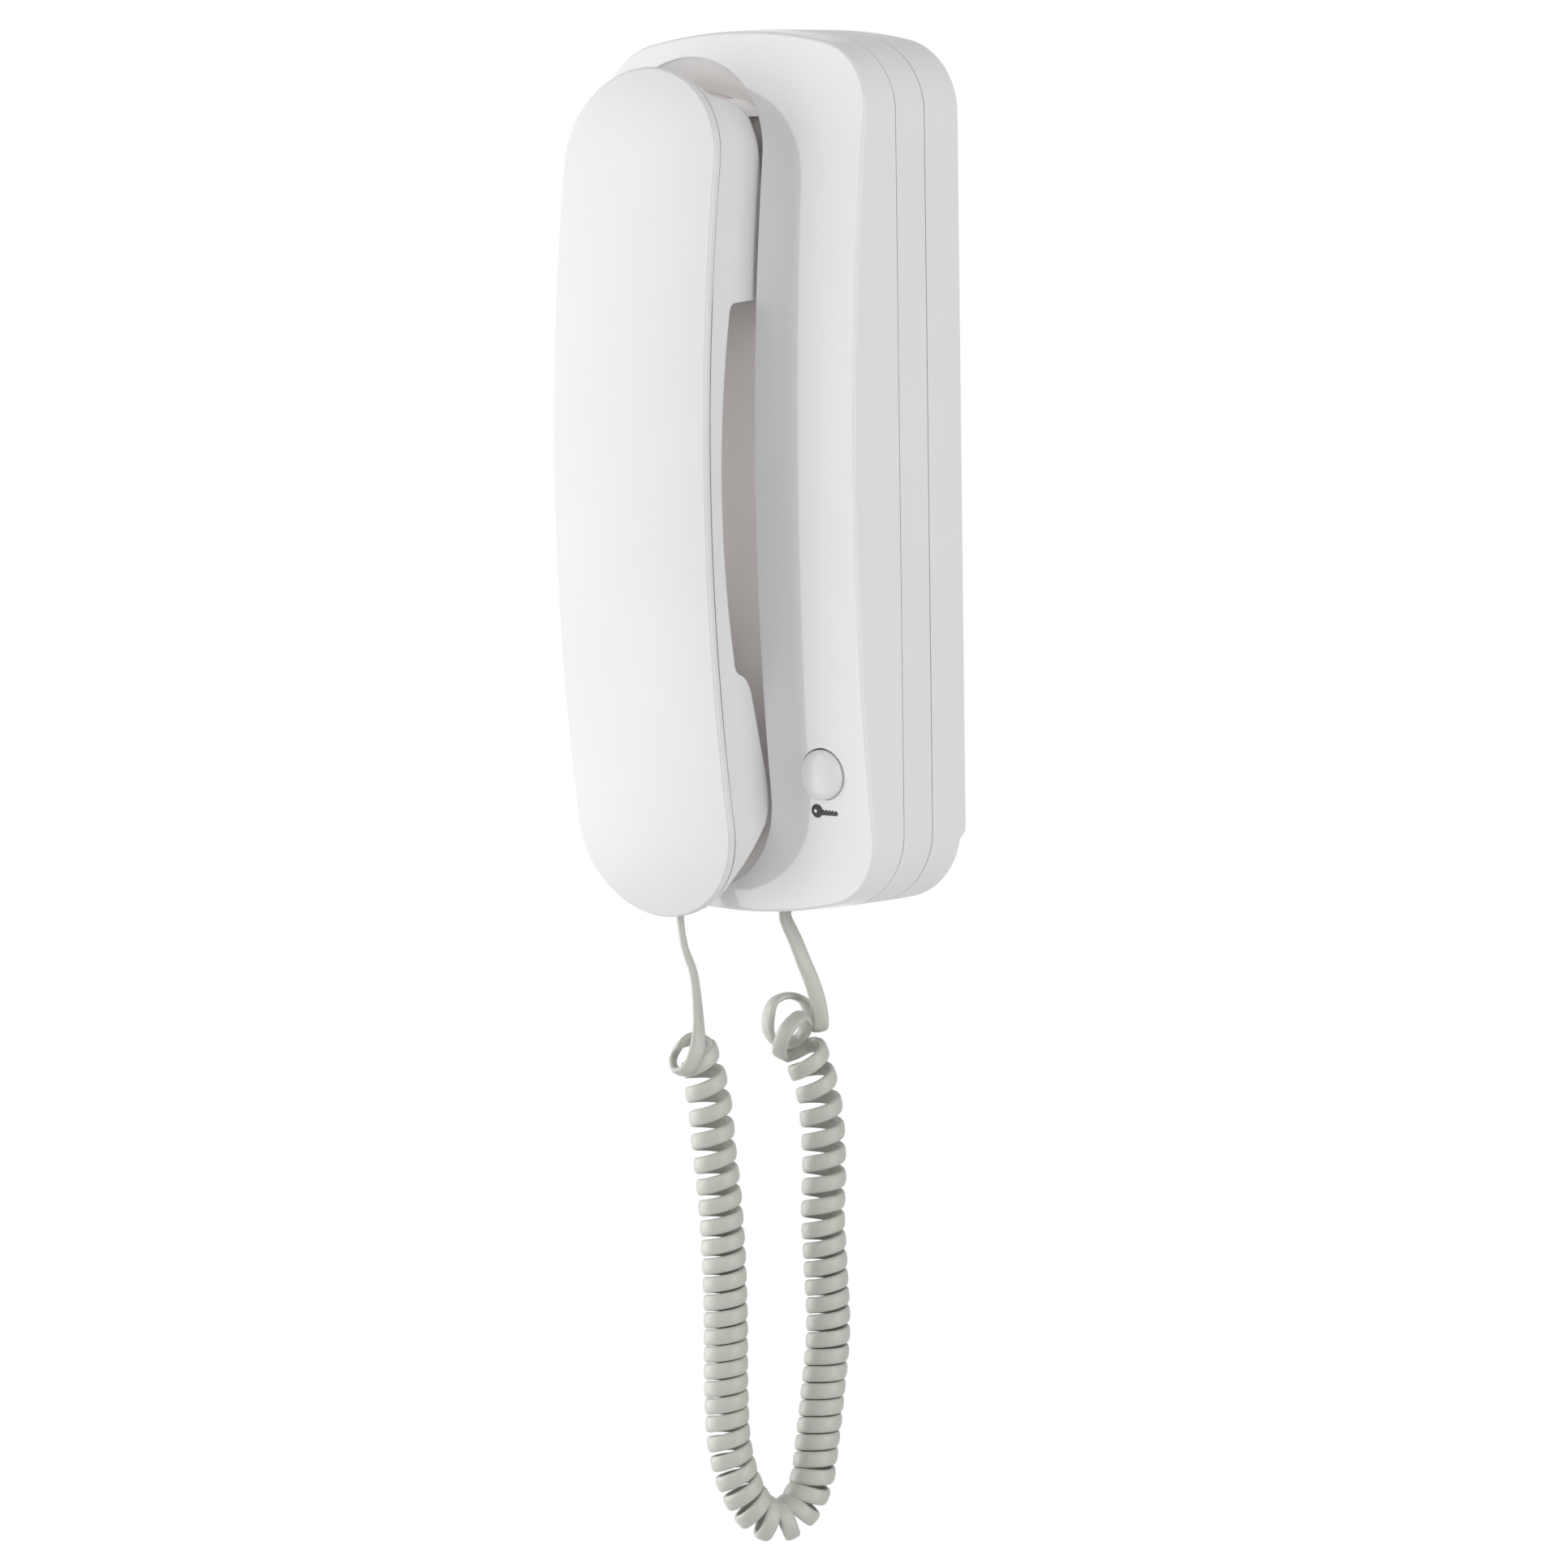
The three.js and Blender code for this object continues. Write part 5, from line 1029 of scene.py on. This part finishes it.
def refaced(name, node, rear, front, cuts, material, fills=()):
    """A CAD node whose outer wall is replaced by a smoother one with softened edges, with
    openings cut in it. Fills close parts of the CAD's shape."""
    wall, overlap, edge, start = 1.2, 0.6, 0.1, 0.03
    outer = skin("outer", [
        ring(body_outline(edge), rear), ring(body_outline(start), rear + start),
        ring(body_outline(0.0), rear + edge), ring(body_outline(0.0), front - edge),
        ring(body_outline(start), front - start), ring(body_outline(edge), front),
    ])
    inner, core = (
        skin("inner", [ring(body_outline(w), rear - 1), ring(body_outline(w), front + 1)])
        for w in (wall, overlap)
    )
    band = carved("band", outer, ("DIFFERENCE", inner), *(("DIFFERENCE", cut) for cut in cuts))
    joins = [("UNION", part) for part in (band, *fills)]
    mesh = carved(name, from_cad(node), ("INTERSECT", core), *joins)
    finished(name, mesh, material, "base", node)


def make_housing():
    """The middle frame with the opening for its jack, and the rear housing with its foot."""
    below = -120
    jack_opening = block(-5.8, 3.5, 15.08, 23.12, below, -97.6)
    step = [(0, FOOT_START), (FOOT_STEP, FOOT_END)]
    relief = prism("relief", [(-1, FOOT_START), *step, (FOOT_STEP, below), (-1, below)], -50, 50, "x")
    deep = FOOT_STEP + 0.1
    fill = prism("fill", [
        (0, CAD_FOOT), (deep, CAD_FOOT), (deep, FOOT_END - 0.1), *step[::-1],
    ], -39.2, 39.2, "x")
    refaced(
        "mid_frame_moulding", "mid_frame", REAR_SEAM + SEAM / 2, FRONT_SEAM - SEAM / 2,
        [jack_opening], satin_white,
    )
    refaced(
        "rear_housing_moulding", "rear_housing", 0.0, REAR_SEAM - SEAM / 2,
        [relief], satin_white, [fill],
    )


make_housing()


# ---- pieces kept from the CAD
CAD_FINISH = {
    "hook_pin": steel, "door_switch": dark_moulding, "main_board": board_green,
    "terminal_block": green_moulding, "call_sounder": dark_moulding, "hook_switch": dark_moulding,
    "base_jack": dark_moulding, "handset_jack": dark_moulding, "earpiece_capsule": dark_moulding,
    "microphone": steel, "microphone_boot": rubber, "capacitor_1": sleeve_dark,
    "capacitor_2": sleeve_dark,
}
for node_name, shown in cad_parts.items():
    finish = CAD_FINISH.get(node_name, steel if "screw" in node_name else None)
    if finish:
        shown.data.materials.clear()
        shown.data.materials.append(finish)


# ---- key symbol
def make_key_symbol():
    """A plain flat key beside the door button, printed on the face: a round bow with a
    hole, and a pointed blade with notches along its top."""
    z0, height, thickness, n = -79.2, 0.03, 0.05, 48
    bow = circle(0, 0, 1, n) * [1.62, 1.65] + [23.5, z0]
    hole = circle(23.0, z0 - 0.05, 0.46, n)
    blade = [
        (24.8, 0.1), (25.2, 0.45), (25.7, 0.0), (26.15, 0.42), (26.65, -0.06), (27.1, 0.36),
        (27.6, -0.12), (28.05, 0.3), (28.55, -0.18), (29.0, 0.2), (29.65, -0.42), (29.3, -1.05),
        (24.8, -1.0),
    ]
    blade = np.array(blade) + [0, z0]
    points = np.vstack([bow, hole, blade])
    faces = [[k, (k + 1) % n, n + (k + 1) % n, n + k] for k in range(n)]
    faces.append(list(range(2 * n, 2 * n + len(blade)))[::-1])
    points = ring(points, lambda z: face_depth(z) + height)
    mesh = bpy.data.meshes.new("key_symbol")
    mesh.from_pydata((points * MM).tolist(), [], faces)
    shown = piece("key_symbol_print", mesh, key_ink, "base")
    thick = shown.modifiers.new("ink", "SOLIDIFY")
    thick.thickness = thickness * MM
    thick.offset = 0.0


make_key_symbol()


# ---- floor, light, world
def seen_directly(nodes, links):
    """1 for rays from the camera, off gloss or through clear pieces, else 0."""
    path = nodes.new("ShaderNodeLightPath").outputs
    total = path["Is Camera Ray"]
    for name in ("Is Glossy Ray", "Is Transmission Ray"):
        total = maths(nodes, links, "MAXIMUM", total, path[name])
    return total


def white_backdrop(tree, end, lighting, look):
    """A node tree that lights the scene by one shader, and is white when seen directly.
    Gives the first shader's inputs."""
    nodes, links = tree.nodes, tree.links
    nodes.clear()
    soft, white, blend, output = (
        nodes.new("ShaderNode" + kind) for kind in (lighting, look, "MixShader", end)
    )
    white.inputs[0].default_value = (1, 1, 1, 1)
    white.inputs[1].default_value = 1.0
    links.new(seen_directly(nodes, links), blend.inputs[0])
    links.new(soft.outputs[0], blend.inputs[1])
    links.new(white.outputs[0], blend.inputs[2])
    links.new(blend.outputs[0], output.inputs[0])
    return soft.inputs


def make_floor():
    """A plain pale floor, 1.1 m below the phone."""
    mesh = bpy.data.meshes.new("floor")
    s, z = 8.0, -1.1
    mesh.from_pydata([(-s, -s, z), (s, -s, z), (s, s, z), (-s, s, z)], [], [(0, 1, 2, 3)])
    floor = placed("floor", mesh)
    material = bpy.data.materials.new("pale_floor")
    material.use_nodes = True
    inputs = white_backdrop(material.node_tree, "OutputMaterial", "BsdfDiffuse", "Emission")
    inputs[0].default_value = (0.74, 0.74, 0.74, 1)
    mesh.materials.append(material)


def make_world(level):
    """A soft, faintly warm room at a level, which is white when seen directly."""
    world = bpy.data.worlds.new("studio")
    bpy.context.scene.world = world
    world.use_nodes = True
    inputs = white_backdrop(world.node_tree, "OutputWorld", "Background", "Background")
    inputs[0].default_value = (1.0, 0.95, 0.94, 1)
    inputs[1].default_value = level


def softbox(name, place, aim, size, power):
    """A rectangular soft lamp aimed at a point."""
    data = bpy.data.lights.new(name, "AREA")
    data.shape = "RECTANGLE"
    data.size, data.size_y = size
    data.energy = power
    lamp = placed(name, data)
    back = unit(np.array(place) - np.array(aim))
    right = unit(np.cross([0, 0, 1], back))
    up = np.cross(back, right)
    turn = Matrix((right.tolist(), up.tolist(), back.tolist())).transposed().to_4x4()
    turn.translation = place
    lamp.matrix_world = turn


make_floor()
make_world(0.24)
for lamp in (
    ("left_softbox", (-1.34, -1.34, -0.06), (0, -0.04, 0), (1.1, 1.9), 22),
    ("left_edge_softbox", (-1.75, -0.5, 0.0), (0, -0.05, 0), (0.6, 1.4), 17),
    ("front_softbox", (0.9, -1.9, 0.4), (0, -0.04, 0), (1.6, 1.8), 12.5),
    ("right_softbox", (1.9, -0.06, 0.1), (0, -0.03, 0), (1.0, 1.8), 20.5),
    ("top_softbox", (0.2, -0.7, 1.8), (0, -0.03, 0), (1.4, 1.0), 3),
):
    softbox(*lamp)

bpy.context.scene.view_settings.view_transform = "Standard"
